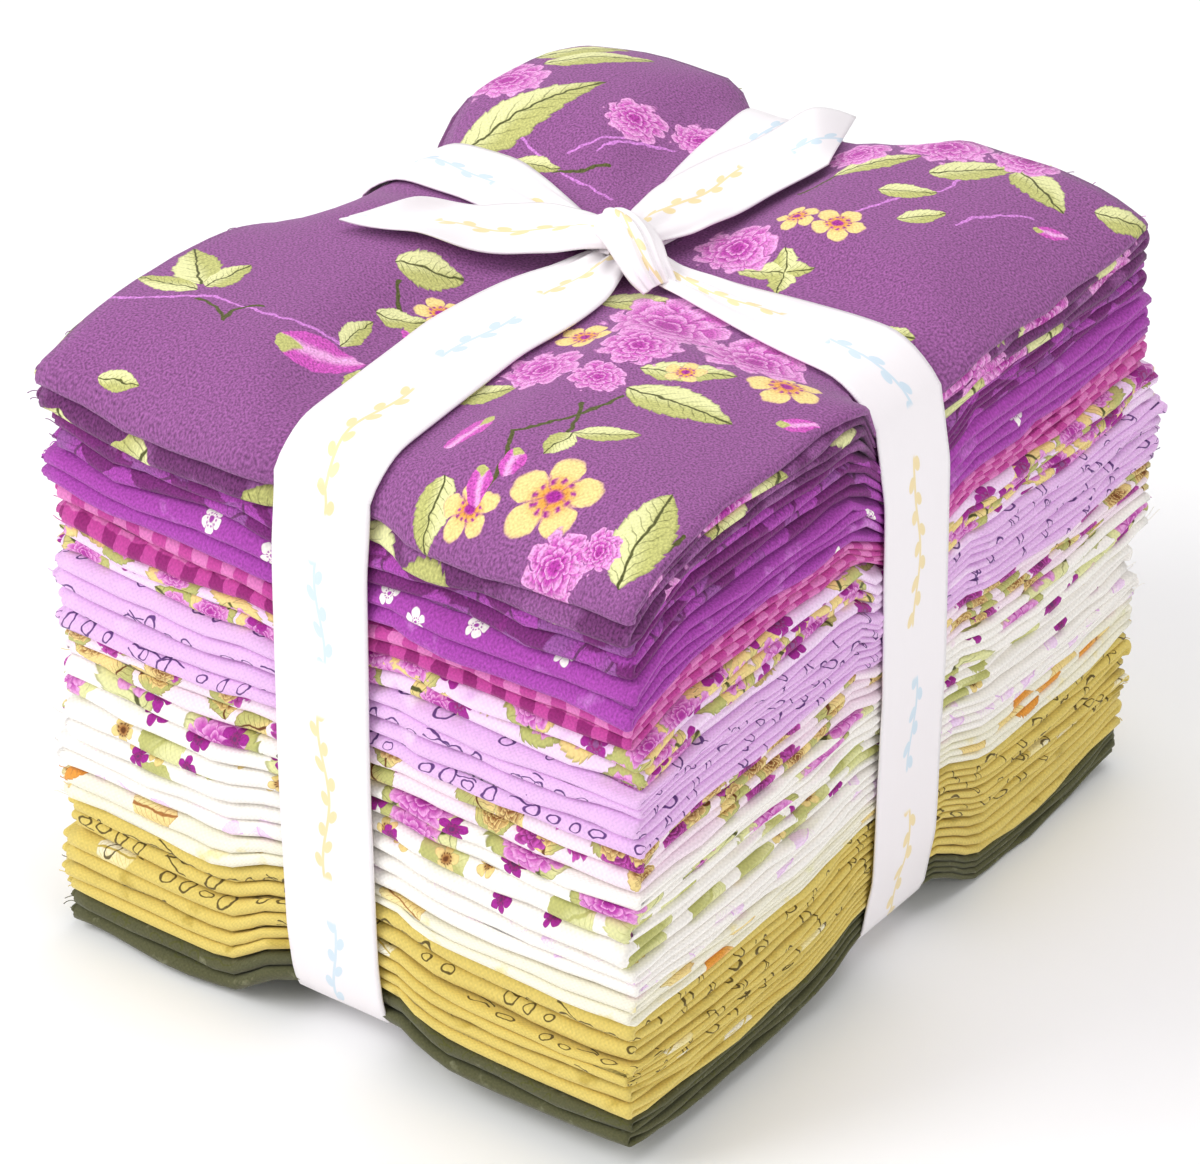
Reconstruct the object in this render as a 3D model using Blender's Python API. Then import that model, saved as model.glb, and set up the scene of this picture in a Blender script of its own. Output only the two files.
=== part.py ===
# A bundle of sixteen fat quarters: folded printed cottons, stacked and tied both ways with one ribbon.
# Metres, +Z up. The stack rests on Z = 0, its rounded folds face -Y, and its layered edges face +X.

import math

import bmesh
import bpy
from mathutils import Vector

MM = 0.001

# Driving sizes of the stack
WIDTH = 114 * MM  # along X, an 18 in side folded in four
DEPTH = 144 * MM  # along Y, a 22 1/2 in side folded in four
HEIGHT = 114 * MM  # from the floor to the fullest part of the top cloth
LAYERS = 4  # strips in each cloth, laid back and forth along Y
LAYER_GAP = 0.25  # air between two strips of one cloth, as a share of a strip's thickness
CLOTH_GAP = 0.6 * MM  # air between two cloths
RIBBON_GAP = 0.4 * MM  # air between the ribbon and the cloth under it
TURN_STEPS = 3  # faces round each fold
TUCK = 1.2 * MM  # how far the very top and very bottom strips end inside the others
FREE_END_TUCK = 1.0 * MM  # how far a cloth's own ends lie inside its folds

# Driving sizes of the ribbon
RIBBON_WIDTH = 18.5 * MM
RIBBON_THICK = 1.0 * MM
LONG_WAY = (
    # y, then x of the centre line of the band that runs along Y, in mm
    (-72, -0.7),
    (-28, -4.4),
    (7, -2.0),
    (72, -9.4),
)
SHORT_WAY = (
    # x, then y of the centre line of the band that runs along X, in mm
    (-57, 15.8),
    (-35, 16.5),
    (-1, 7.0),
    (57, 3.2),
)
LONG_WIDTH = (
    # y in mm, then how wide the ribbon lies there on top, as a share of its full width
    (-72, 1.0),
    (-8, 1.0),
    (3, 0.4),
    (12, 0.4),
    (40, 0.85),
    (72, 0.8),
)
SHORT_WIDTH = (
    # x in mm, then how wide the ribbon lies there on top, as a share of its full width
    (-57, 0.72),
    (-35, 0.95),
    (-10, 0.4),
    (8, 0.35),
    (38, 0.95),
    (57, 1.0),
)
LAP = 0.8 * MM  # how far the short way lies over the long way where they cross
BEND = 1.8 * MM  # leg of the ribbon's bend at each edge of the stack
BEND_STEPS = 3

# The ribbon's pull on the cloth
TROUGH_HALF = RIBBON_WIDTH / 2 + 0.8 * MM  # half width of the flat floor under a band
TROUGH_SLOPE = 14 * MM  # from that floor back up to the full height
CROWN_REACH = 7 * MM  # the same at a side, where the cloth rises beside the band
TROUGH_TOP = 5 * MM
TROUGH_BOTTOM = 4 * MM

# How the top falls away at the stack's sides, and how the bottom lifts there, in mm.
# A front or back row runs from -X to +X, a left or right row from -Y to +Y.
EDGE_REACH = 18 * MM  # how far in from a side or a corner the change starts
TOP_FALL = {
    # side: first corner, first crown, under the band, second crown, second corner
    "front": (5.0, 8.0, 11.0, 9.0, 8.0),
    "back": (6.8, 4.6, 12.0, 2.2, 4.0),
    "left": (5.0, 1.2, 11.8, 3.4, 6.5),
    "right": (5.0, 1.6, 12.5, 6.8, 6.0),
}
BOTTOM_LIFT = {
    "front": (0.8, 0.6, 8.6, 4.4, 5.2),
    "back": (4.0, 1.0, 6.5, 0.3, 2.0),
    "left": (1.0, 0.6, 6.5, 1.0, 4.0),
    "right": (4.4, 3.0, 7.6, 0.0, 2.4),
}

# How far the cloth stands past the nominal sides where the ribbon holds it, in mm
HELD = {
    # side: at the top and bottom of the stack, half way up
    "front": (-1.8, 0.6),
    "back": (-1.4, 2.6),
    "left": (-1.8, 0.6),
    "right": (-1.4, 1.4),
}
HELD_STOPS = (0.0, 0.12, 0.5, 0.88, 1.0)  # shares of the height where the held line bends
HELD_SHARE = (0.0, 0.75, 1.0, 0.75, 0.0)  # how much of the half-way value each has
HELD_SLACK = 0.25 * MM  # how far inside that line the cloth is kept

# The cloths from the top: thickness where the stack is full, and how far each stands out past the
# nominal sides, in mm
CLOTHS = (
    # name, colour, thickness, left, right, front, back
    ("cloth_01_plum_floral", (0.17, 0.06, 0.21), 9.2, 0.5, 1.6, 1.6, 0.6),
    ("cloth_02_purple_tonal", (0.20, 0.05, 0.33), 6.8, -1.4, 0.6, 0.3, 1.4),
    ("cloth_03_orchid_sprig", (0.45, 0.12, 0.55), 8.2, 0.0, 1.4, 1.2, 3.0),
    ("cloth_04_pink_gingham", (0.60, 0.11, 0.35), 6.4, -1.6, 0.8, 0.2, 2.8),
    ("cloth_05_lilac_floral", (0.62, 0.42, 0.66), 6.2, -1.0, 2.0, -0.2, 5.0),
    ("cloth_06_lilac_loops", (0.70, 0.48, 0.80), 6.6, -0.8, 2.6, 0.8, 6.2),
    ("cloth_07_lilac_loops", (0.70, 0.48, 0.80), 6.6, -1.2, 2.4, 1.4, 6.0),
    ("cloth_08_brown_gold_floral", (0.82, 0.76, 0.66), 6.8, -1.6, 1.6, 0.2, 5.0),
    ("cloth_09_pink_plum_floral", (0.85, 0.74, 0.78), 7.8, -1.2, 2.2, 0.9, 5.0),
    ("cloth_10_green_leaf", (0.86, 0.84, 0.74), 7.4, -0.4, 0.6, 1.3, 2.0),
    ("cloth_11_faint_lilac", (0.88, 0.85, 0.88), 6.6, 1.8, 1.4, 0.6, 3.6),
    ("cloth_12_cream_mottled", (0.86, 0.84, 0.66), 6.2, 0.4, 1.2, 1.2, 3.6),
    ("cloth_13_golden_loops", (0.70, 0.58, 0.24), 6.2, 0.0, 0.8, 0.2, 2.4),
    ("cloth_14_golden_loops", (0.70, 0.58, 0.24), 6.2, 1.0, 1.2, 1.1, 1.6),
    ("cloth_15_golden_plain", (0.66, 0.54, 0.22), 6.2, 1.2, 1.0, 1.2, 1.2),
    ("cloth_16_dark_olive", (0.13, 0.13, 0.08), 6.0, 1.0, 0.6, 0.8, 0.6),
)
CLOTH_ROUGHNESS = 0.9
RIBBON_COLOUR = (0.90, 0.87, 0.88)
RIBBON_ROUGHNESS = 0.45

# Uneven lie of the cloths
SWELL = 0.10  # wander of the line between two cloths, as a share of the mean thickness
SWELL_LENGTH = 30 * MM
RIPPLE = 0.6 * MM  # wander of each fold and edge
GOLDEN_ANGLE = 2.399963  # turns the waves of one cloth against those of the next
SWELL_CROSS = 1.7  # how much faster the waves turn along Y than along X
RIPPLE_TURN = 2.1  # of a ripple from one shared line to the next
RIPPLE_DRIFT = 1.3  # of its strength from one strip to the next

# Lines across the stack that every cloth shares, so that neighbours lie parallel.
# None stands for the two edges of a trough.
COLUMNS = (-WIDTH / 2, -30 * MM, None, None, 25 * MM, 39 * MM, WIDTH / 2)
ROWS = (-DEPTH / 2, -54 * MM, -28 * MM, None, None, 34 * MM, DEPTH / 2)
LAST = len(COLUMNS) - 1
TROUGH_COLUMNS = (2, 3)
TROUGH_ROWS = (3, 4)

# Knot and free ends
KNOT = Vector((-1.0, 7.0)) * MM
KNOT_LOBES = (
    # radii in mm, turn about Z in degrees
    ((7.2, 5.2, 3.8), 20.0),
    ((4.2, 7.4, 4.4), -12.0),
)
TAIL_STEPS = 10
TAIL_ACROSS = 4
TAILS = (
    # name, end beyond the knot in mm, bow to the side in mm, slant of its cut end in mm
    ("tail_left", (-38.0, -23.5), 3.0, 0.0),
    ("tail_back", (6.0, 53.5), 1.5, 12.0),
)
TAIL_SHAPE = {
    # share of the length: half width in mm, height above the top cloth in mm, rise of one edge in mm
    "tail_left": ((0.0, 3.4, 3.6, 0.0), (0.2, 7.0, 3.4, 0.6), (0.45, 9.2, 2.6, 1.6), (0.7, 8.6, 2.0, 1.4),
                  (0.9, 4.0, 1.8, 0.6), (1.0, 0.9, 1.8, 0.0)),
    "tail_back": ((0.0, 3.4, 3.6, 0.0), (0.2, 7.0, 2.9, 0.0), (0.45, 9.0, 2.2, 0.0), (0.8, 8.4, 1.9, 0.0),
                  (1.0, 7.6, 1.9, 0.0)),
}
TAIL_THICK = 1.0 * MM


def ease(t):
    """0 to 1 with flat ends."""
    t = min(1.0, max(0.0, t))
    return t * t * (3 - 2 * t)


def soft_max(values):
    """Close to the largest value, without a crease where two are equal."""
    return sum(value ** 6 for value in values) ** (1 / 6)


def read_stops(stops, t):
    """Straight-line reading of ((t, value, ...), ...) at t."""
    for low, high in zip(stops, stops[1:]):
        if t <= high[0]:
            break
    share = min(1.0, max(0.0, (t - low[0]) / (high[0] - low[0])))
    return [a + (b - a) * share for a, b in zip(low[1:], high[1:])]


def long_way_x(y):
    """Centre line of the band that runs along Y."""
    return read_stops(LONG_WAY, y / MM)[0] * MM


def short_way_y(x):
    """Centre line of the band that runs along X."""
    return read_stops(SHORT_WAY, x / MM)[0] * MM


def trough(distance):
    """1 on the flat floor under a band, easing to 0 beside it."""
    return 1 - ease((abs(distance) - TROUGH_HALF) / TROUGH_SLOPE)


def side_value(values, t, half, band):
    """One side's row of TOP_FALL or BOTTOM_LIFT, read at t along a side whose band crosses at band."""
    places = (-half, EDGE_REACH - half, band - TROUGH_HALF - CROWN_REACH, band - TROUGH_HALF)
    places += (band + TROUGH_HALF, band + TROUGH_HALF + CROWN_REACH, half - EDGE_REACH, half)
    first_corner, first_crown, under, second_crown, second_corner = values
    heights = (first_corner, first_crown, first_crown, under)
    heights += (under, second_crown, second_crown, second_corner)
    for place, after, low, high in zip(places, places[1:], heights, heights[1:]):
        if t <= after:
            break
    return (low + (high - low) * ease((t - place) / (after - place))) * MM


def fade(distance):
    """1 at a side of the stack, 0 from EDGE_REACH inwards."""
    return max(0.0, 1 - distance / EDGE_REACH) ** 1.5


def side_changes(table, x, y):
    """What each of the four sides brings to the height at x, y."""
    half_x = WIDTH / 2
    half_y = DEPTH / 2
    return (
        fade(y + half_y) * side_value(table["front"], x, half_x, long_way_x(-half_y)),
        fade(half_y - y) * side_value(table["back"], x, half_x, long_way_x(half_y)),
        fade(x + half_x) * side_value(table["left"], y, half_y, short_way_y(-half_x)),
        fade(half_x - x) * side_value(table["right"], y, half_y, short_way_y(half_x)),
    )


def surface_change(table, depth, x, y):
    """The side changes and the two troughs together."""
    troughs = (depth * trough(x - long_way_x(y)), depth * trough(y - short_way_y(x)))
    return soft_max(side_changes(table, x, y) + troughs)


def top_height(x, y):
    return HEIGHT - surface_change(TOP_FALL, TROUGH_TOP, x, y)


def bottom_height(x, y):
    return surface_change(BOTTOM_LIFT, TROUGH_BOTTOM, x, y)


def column_x(i, y):
    """Where shared line i lies across X, at y."""
    if i in TROUGH_COLUMNS:
        return long_way_x(y) + TROUGH_HALF * (-1 if i == TROUGH_COLUMNS[0] else 1)
    return COLUMNS[i]


def row_y(j, x):
    """Where shared line j lies across Y, at x."""
    if j in TROUGH_ROWS:
        return short_way_y(x) + TROUGH_HALF * (-1 if j == TROUGH_ROWS[0] else 1)
    return ROWS[j]


def crossing(i, j):
    x = column_x(i, row_y(j, 0.0))
    return x, row_y(j, x)


def lines_between_cloths():
    """For each line between two cloths, from the top: its points at the crossings of the shared lines."""
    total = sum(cloth[2] for cloth in CLOTHS)
    lines = []
    passed = 0.0
    for n in range(len(CLOTHS) + 1):
        inner = 0 < n < len(CLOTHS)
        grid = []
        for i in range(LAST + 1):
            column = []
            for j in range(LAST + 1):
                x, y = crossing(i, j)
                swell = math.sin(GOLDEN_ANGLE * n + x / SWELL_LENGTH)
                swell += math.cos(GOLDEN_ANGLE * SWELL_CROSS * n + y / SWELL_LENGTH)
                share = passed / total + inner * SWELL / len(CLOTHS) * swell
                top = top_height(x, y)
                z = top - (top - bottom_height(x, y)) * share
                column.append(Vector((x, y, z)))
            grid.append(column)
        lines.append(grid)
        if n < len(CLOTHS):
            passed += CLOTHS[n][2]
    return lines


def spot(grid, p, q):
    """A point of a grid at column p and row q, both fractional.

    Past its rim the last cell runs on straight."""
    i = min(LAST - 1, max(0, math.floor(p)))
    j = min(LAST - 1, max(0, math.floor(q)))
    near = grid[i][j].lerp(grid[i + 1][j], p - i)
    far = grid[i][j + 1].lerp(grid[i + 1][j + 1], p - i)
    return near.lerp(far, q - j)


def held_limit(side, share):
    """How far past the nominal side the cloth may stand under the ribbon, at a share of the height."""
    ends, middle = HELD[side]
    stops = [(stop, ends + (middle - ends) * part) for stop, part in zip(HELD_STOPS, HELD_SHARE)]
    return read_stops(stops, share)[0] * MM


def wander(seed, place):
    """A small repeatable ripple along a fold or edge."""
    strength = math.cos(RIPPLE_DRIFT * seed + place)
    return RIPPLE * strength * math.sin(GOLDEN_ANGLE * seed + RIPPLE_TURN * place)


class Stand:
    """How far one cloth reaches past each nominal side."""

    def __init__(self, number):
        cloth = CLOTHS[number]
        total = sum(entry[2] for entry in CLOTHS)
        below = sum(entry[2] for entry in CLOTHS[number + 1:])
        self.number = number
        self.reach = dict(zip(("left", "right", "front", "back"), cloth[3:]))
        faces = [(below + cloth[2] * (1 - n / LAYERS)) / total for n in range(LAYERS + 1)]
        # the share of the stack's height of each strip's face that is nearer the top or bottom
        self.shares = [max(pair, key=lambda share: abs(share - 0.5)) for pair in zip(faces, faces[1:])]

    def past(self, side, layer, line):
        """Reach of a layer's edge or fold past the side, at shared line number line."""
        reach = self.reach[side] * MM + wander(self.number * (LAYERS + 1) + layer, line)
        held_lines = TROUGH_COLUMNS if side in ("front", "back") else TROUGH_ROWS
        if line in held_lines:
            reach = min(reach, held_limit(side, self.shares[layer]) - HELD_SLACK)
        outermost = (self.number, layer) in ((0, 0), (len(CLOTHS) - 1, LAYERS - 1))
        if outermost and side in ("left", "right"):
            reach -= TUCK
        return reach


def cloth_section():
    """The back-and-forth section: for each station its layer, row or turn angle, and both faces' rise.

    A rise is 0 at the cloth's underside and 1 at its top."""
    thick = 1 / (LAYERS + (LAYERS - 1) * LAYER_GAP)
    pitch = thick * (1 + LAYER_GAP)
    stations = []
    for layer in range(LAYERS):
        middle = 1 - thick / 2 - layer * pitch
        forward = layer % 2 == 0  # this strip runs from the back to the front
        rows = list(range(1, LAST))
        if forward:
            rows.reverse()
        if layer == 0:
            rows.insert(0, "free")
        if layer == LAYERS - 1:
            rows.append("free")
        up = 1 if forward else -1
        for row in rows:
            stations.append((layer, row, middle + up * thick / 2, middle - up * thick / 2))
        if layer < LAYERS - 1:
            centre = middle - pitch / 2
            outer = (pitch + thick) / 2
            inner = (pitch - thick) / 2
            radii = (outer, inner) if forward else (inner, outer)
            for step in range(TURN_STEPS + 1):
                stations.append((layer, (step, centre, forward), *radii))
    return stations


def build_cloth(number, upper, lower):
    """One cloth as a closed back-and-forth strip between two lines."""
    stand = Stand(number)
    lift = 0 if number == len(CLOTHS) - 1 else CLOTH_GAP / 2
    drop = 0 if number == 0 else CLOTH_GAP / 2
    cell_x = (COLUMNS[1] - COLUMNS[0], COLUMNS[LAST] - COLUMNS[LAST - 1])
    cell_y = (ROWS[1] - ROWS[0], ROWS[LAST] - ROWS[LAST - 1])
    thickness = CLOTHS[number][2] * MM

    def place_at(layer, i, q, rise):
        line = min(LAST, max(0, round(q)))
        p = i
        if i == 0:
            p = -stand.past("left", layer, line) / cell_x[0]
        if i == LAST:
            p = LAST + stand.past("right", layer, line) / cell_x[1]
        top = spot(upper, p, q) - Vector((0, 0, drop))
        bottom = spot(lower, p, q) + Vector((0, 0, lift))
        return bottom.lerp(top, rise)

    def station_points(station):
        layer, row, first, second = station
        pairs = []
        for i in range(LAST + 1):
            if isinstance(row, int):
                ends = ((row, first), (row, second))
            elif row == "free":
                q = LAST + (stand.past("back", layer, i) - FREE_END_TUCK) / cell_y[1]
                ends = ((q, first), (q, second))
            else:
                step, centre, at_front = row
                angle = math.pi * step / TURN_STEPS
                cell = cell_y[0] if at_front else cell_y[1]
                nose = stand.past("front" if at_front else "back", layer, i)
                hub = (nose - max(first, second) * thickness) / cell
                ends = []
                for radius in (first, second):
                    out = hub + radius * thickness * math.sin(angle) / cell
                    q = -out if at_front else LAST + out
                    ends.append((q, centre + radius * math.cos(angle)))
            pairs.append([place_at(layer, i, q, rise) for q, rise in ends])
        return pairs

    mesh = bmesh.new()
    rings = []
    for station in cloth_section():
        pairs = station_points(station)
        rings.append([[mesh.verts.new(place) for place in pair] for pair in pairs])
    for here, there in zip(rings, rings[1:]):
        toward_front = here[1][0].co.y > there[1][0].co.y
        for face in (0, 1):
            for i in range(LAST):
                # the same diagonal on every strip, whichever way it runs
                low, high = (there, here) if toward_front else (here, there)
                a, b = low[i][face], low[i + 1][face]
                c, d = high[i][face], high[i + 1][face]
                mesh.faces.new((a, b, d))
                mesh.faces.new((a, d, c))
        for i in (0, LAST):
            mesh.faces.new((here[i][0], there[i][0], there[i][1], here[i][1]))
    for ring in (rings[0], rings[-1]):
        for i in range(LAST):
            mesh.faces.new((ring[i][0], ring[i + 1][0], ring[i + 1][1], ring[i][1]))
    bmesh.ops.recalc_face_normals(mesh, faces=mesh.faces)
    return mesh


def offset_loop(points, distance):
    """Moves a closed loop of (run, height) points outwards; the loop runs anticlockwise."""
    moved = []
    for n, here in enumerate(points):
        before = points[n - 1]
        after = points[(n + 1) % len(points)]
        first = (here - before).normalized()
        second = (after - here).normalized()
        normals = (Vector((first.y, -first.x)), Vector((second.y, -second.x)))
        middle = (normals[0] + normals[1]).normalized()
        moved.append(here + middle * distance / max(0.5, middle.dot(normals[0])))
    return moved


def round_corner(before, corner, after):
    """The bend that takes the place of a sharp corner."""
    start = corner + (before - corner).normalized() * BEND
    end = corner + (after - corner).normalized() * BEND
    bend = []
    for n in range(BEND_STEPS + 1):
        t = n / BEND_STEPS
        bend.append(start.lerp(corner, t).lerp(corner.lerp(end, t), t))
    return bend


def band_mesh(along_y, top_line, bottom_line):
    """One closed band round the stack, lying on the shared lines of the cloths beside it."""
    low_side, high_side = ("front", "back") if along_y else ("left", "right")
    half_run = (DEPTH if along_y else WIDTH) / 2
    cells = ROWS if along_y else COLUMNS
    edge_cells = (cells[1] - cells[0], cells[LAST] - cells[LAST - 1])
    width_on_top = LONG_WIDTH if along_y else SHORT_WIDTH
    middle = sum(TROUGH_COLUMNS if along_y else TROUGH_ROWS) / 2

    def at(grid, run_index, side):
        """A point of the grid under one edge of the band; side is -1 or 1."""
        place = spot(grid, *((middle, run_index) if along_y else (run_index, middle)))
        run = place.y if along_y else place.x
        half = RIBBON_WIDTH / 2
        if grid is top_line:
            half *= read_stops(width_on_top, run / MM)[0]
        across = middle + side * half / (2 * TROUGH_HALF)
        return spot(grid, *((across, run_index) if along_y else (run_index, across)))

    def flat(place, extra=0.0):
        return Vector((place.y if along_y else place.x, place.z + extra))

    def wall(side_name, side):
        """Points of the cloth's held side from the bottom up, for one edge of the band."""
        sign = -1 if side_name == low_side else 1
        points = []
        for share in HELD_STOPS:
            past = held_limit(side_name, share)
            index = -past / edge_cells[0] if sign < 0 else LAST + past / edge_cells[1]
            low = at(bottom_line, index, side)
            high = at(top_line, index, side)
            points.append((flat(low.lerp(high, share)), low.lerp(high, share)))
        return points

    def envelope(side):
        """The loop round the cloth under one edge of the band, anticlockwise, and its place across."""
        lap_rows = () if along_y else TROUGH_COLUMNS
        loop = []
        for row in range(1, LAST):
            place = at(bottom_line, row, side)
            loop.append((flat(place, -LAP if row in lap_rows else 0), place))
        right = wall(high_side, side)
        left = wall(low_side, side)
        loop += right
        for row in range(LAST - 1, 0, -1):
            place = at(top_line, row, side)
            loop.append((flat(place, LAP if row in lap_rows else 0), place))
        loop += left[::-1]
        corner_places = [right[0][0], right[-1][0], left[-1][0], left[0][0]]
        points = []
        places = []
        for n, (here, place) in enumerate(loop):
            if here in corner_places:
                bend = round_corner(loop[n - 1][0], here, loop[(n + 1) % len(loop)][0])
                points += bend
                places += [place] * len(bend)
            else:
                points.append(here)
                places.append(place)
        return points, places

    mesh = bmesh.new()
    rails = []
    for side in (-1, 1):
        points, places = envelope(side)
        for distance in (RIBBON_GAP, RIBBON_GAP + RIBBON_THICK):
            rail = []
            for moved, place in zip(offset_loop(points, distance), places):
                across = place.x if along_y else place.y
                co = (across, moved.x, moved.y) if along_y else (moved.x, across, moved.y)
                rail.append(mesh.verts.new(co))
            rails.append(rail)
    order = (rails[0], rails[1], rails[3], rails[2])
    for rail, beside in zip(order, order[1:] + order[:1]):
        for n in range(len(rail)):
            after = (n + 1) % len(rail)
            mesh.faces.new((rail[n], rail[after], beside[after], beside[n]))
    bmesh.ops.recalc_face_normals(mesh, faces=mesh.faces)
    return mesh


def top_at(top_line, x, y):
    """Height of the top cloth at x, y, read between the shared lines."""
    p = 0
    while p < LAST - 1 and x > column_x(p + 1, y):
        p += 1
    q = 0
    while q < LAST - 1 and y > row_y(q + 1, x):
        q += 1
    share_x = (x - column_x(p, y)) / (column_x(p + 1, y) - column_x(p, y))
    share_y = (y - row_y(q, x)) / (row_y(q + 1, x) - row_y(q, x))
    return spot(top_line, p + share_x, q + share_y).z


def tail_mesh(name, end, bow, slant, top_line):
    """A free end of the ribbon, lying over the top cloth from the knot outwards."""
    run = Vector(end) * MM
    across = Vector((-run.y, run.x)).normalized()
    mesh = bmesh.new()
    sections = []
    for n in range(TAIL_STEPS + 1):
        share = n / TAIL_STEPS
        half, height, rise = read_stops(TAIL_SHAPE[name], share)
        centre = KNOT + run * share + across * bow * MM * math.sin(math.pi * share)
        lower = []
        for m in range(TAIL_ACROSS + 1):
            side = 2 * m / TAIL_ACROSS - 1
            place = centre + (across * half + run.normalized() * slant * share) * side * MM
            z = top_at(top_line, place.x, place.y) + (height - rise * side / 2) * MM
            lower.append(Vector((place.x, place.y, z)))
        upper = [point + Vector((0, 0, TAIL_THICK)) for point in lower]
        sections.append([mesh.verts.new(point) for point in lower + upper[::-1]])
    count = len(sections[0])
    for here, there in zip(sections, sections[1:]):
        for m in range(count):
            after = (m + 1) % count
            mesh.faces.new((here[m], here[after], there[after], there[m]))
    for section in (sections[0], sections[-1]):
        half_count = count // 2
        for m in range(half_count - 1):
            mesh.faces.new((section[m], section[m + 1], section[count - 2 - m], section[count - 1 - m]))
    bmesh.ops.recalc_face_normals(mesh, faces=mesh.faces)
    return mesh


def knot_mesh(radii, turn, top_line):
    """One rounded lobe of the knot, sitting on the crossing."""
    mesh = bmesh.new()
    bmesh.ops.create_icosphere(mesh, subdivisions=2, radius=1.0)
    floor = spot(top_line, sum(TROUGH_COLUMNS) / 2, sum(TROUGH_ROWS) / 2).z + RIBBON_GAP
    angle = math.radians(turn)
    for vert in mesh.verts:
        x, y, z = (component * radius * MM for component, radius in zip(vert.co, radii))
        vert.co = (
            KNOT.x + x * math.cos(angle) - y * math.sin(angle),
            KNOT.y + x * math.sin(angle) + y * math.cos(angle),
            floor + radii[2] * MM + z,
        )
    return mesh


def add_object(name, mesh, colour, roughness, parent):
    """Turns a bmesh into an object with a material of its own."""
    data = bpy.data.meshes.new(name)
    mesh.to_mesh(data)
    mesh.free()
    material = bpy.data.materials.new(name)
    material.use_nodes = True
    shader = material.node_tree.nodes["Principled BSDF"]
    shader.inputs["Base Color"].default_value = (*colour, 1.0)
    shader.inputs["Roughness"].default_value = roughness
    shader.inputs["Metallic"].default_value = 0.0
    data.materials.append(material)
    thing = bpy.data.objects.new(name, data)
    thing.parent = parent
    bpy.context.scene.collection.objects.link(thing)
    return thing


def add_ribbon(top_line, bottom_line, parent):
    """The ribbon: both bands, the knot and the two free ends, joined into one solid."""
    long_way = band_mesh(True, top_line, bottom_line)
    ribbon = add_object("ribbon", long_way, RIBBON_COLOUR, RIBBON_ROUGHNESS, parent)
    pieces = {"ribbon_short_way": band_mesh(False, top_line, bottom_line)}
    for n, (radii, turn) in enumerate(KNOT_LOBES):
        pieces[f"ribbon_knot_{n}"] = knot_mesh(radii, turn, top_line)
    for name, end, bow, slant in TAILS:
        pieces[f"ribbon_{name}"] = tail_mesh(name, end, bow, slant, top_line)
    for name, mesh in pieces.items():
        piece = add_object(name, mesh, RIBBON_COLOUR, RIBBON_ROUGHNESS, parent)
        piece.hide_render = True
        piece.display_type = "WIRE"
        union = ribbon.modifiers.new(name, "BOOLEAN")
        union.operation = "UNION"
        union.object = piece


def centre_on_origin(bundle):
    """Moves the whole stack so that the origin is under the middle of it."""
    places = [vert.co for thing in bundle.children for vert in thing.data.vertices]
    low = [min(place[axis] for place in places) for axis in range(2)]
    high = [max(place[axis] for place in places) for axis in range(2)]
    bundle.location = (-(low[0] + high[0]) / 2, -(low[1] + high[1]) / 2, 0.0)


def build():
    for thing in list(bpy.data.objects):
        bpy.data.objects.remove(thing, do_unlink=True)
    bundle = bpy.data.objects.new("bundle", None)
    bpy.context.scene.collection.objects.link(bundle)
    lines = lines_between_cloths()
    for number, cloth in enumerate(CLOTHS):
        mesh = build_cloth(number, lines[number], lines[number + 1])
        add_object(cloth[0], mesh, cloth[1], CLOTH_ROUGHNESS, bundle)
    add_ribbon(lines[0], lines[-1], bundle)
    centre_on_origin(bundle)


build()
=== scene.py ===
# %% [markdown]
# # A fat quarter bundle, dressed
#
# A fat quarter is a cut of printed quilting cotton, 18 by 22 1/2 inches. Sixteen of them are folded to the
# same small size, stacked, and tied both ways with one satin ribbon. The packed frame already holds the
# bundle's solids at their real size. This script lays real folded sheets in their place, ties a real strip
# of ribbon round them, and gives each cloth its own woven and printed finish.
#
# The first cell loads the frame and lays each solid's placement into its mesh.

# %% Load the frame
import math

import bpy
import numpy as np
from mathutils import Matrix, Vector


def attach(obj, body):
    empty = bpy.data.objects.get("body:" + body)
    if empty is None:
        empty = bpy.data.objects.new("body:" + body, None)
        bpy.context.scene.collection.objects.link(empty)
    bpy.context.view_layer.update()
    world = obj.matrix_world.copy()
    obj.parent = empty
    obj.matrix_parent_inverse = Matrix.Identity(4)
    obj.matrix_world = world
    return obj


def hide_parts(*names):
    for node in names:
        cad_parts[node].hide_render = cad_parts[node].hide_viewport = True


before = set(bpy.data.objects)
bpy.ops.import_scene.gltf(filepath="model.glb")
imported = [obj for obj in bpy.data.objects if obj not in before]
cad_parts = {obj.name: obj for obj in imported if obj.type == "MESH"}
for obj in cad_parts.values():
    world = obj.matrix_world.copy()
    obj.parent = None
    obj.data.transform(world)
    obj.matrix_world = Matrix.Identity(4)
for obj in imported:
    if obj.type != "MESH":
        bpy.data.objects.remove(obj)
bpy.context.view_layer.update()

nodes = sorted(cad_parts)
print("nodes in the frame:", len(nodes))

# %% [markdown]
# ## Camera
#
# The photograph looks down on one corner of the bundle from a fair distance, so the parallel folds stay
# nearly parallel. A long lens does that. The camera could be placed by eye, but here its direction comes
# from how the three edges of the stack run in the picture, and it is written down as a place, a heading,
# a tilt and a focal length.

# %% Camera
MM = 0.001
CAMERA_PLACE = (0.4296, -0.5899, 0.5000)
CAMERA_HEADING = 36.26  # degrees from +Y towards -X
CAMERA_TILT = 31.59  # degrees below level
CAMERA_ROLL = -0.08
FOCAL_LENGTH = 154.9
SENSOR_WIDTH = 36.0

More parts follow.
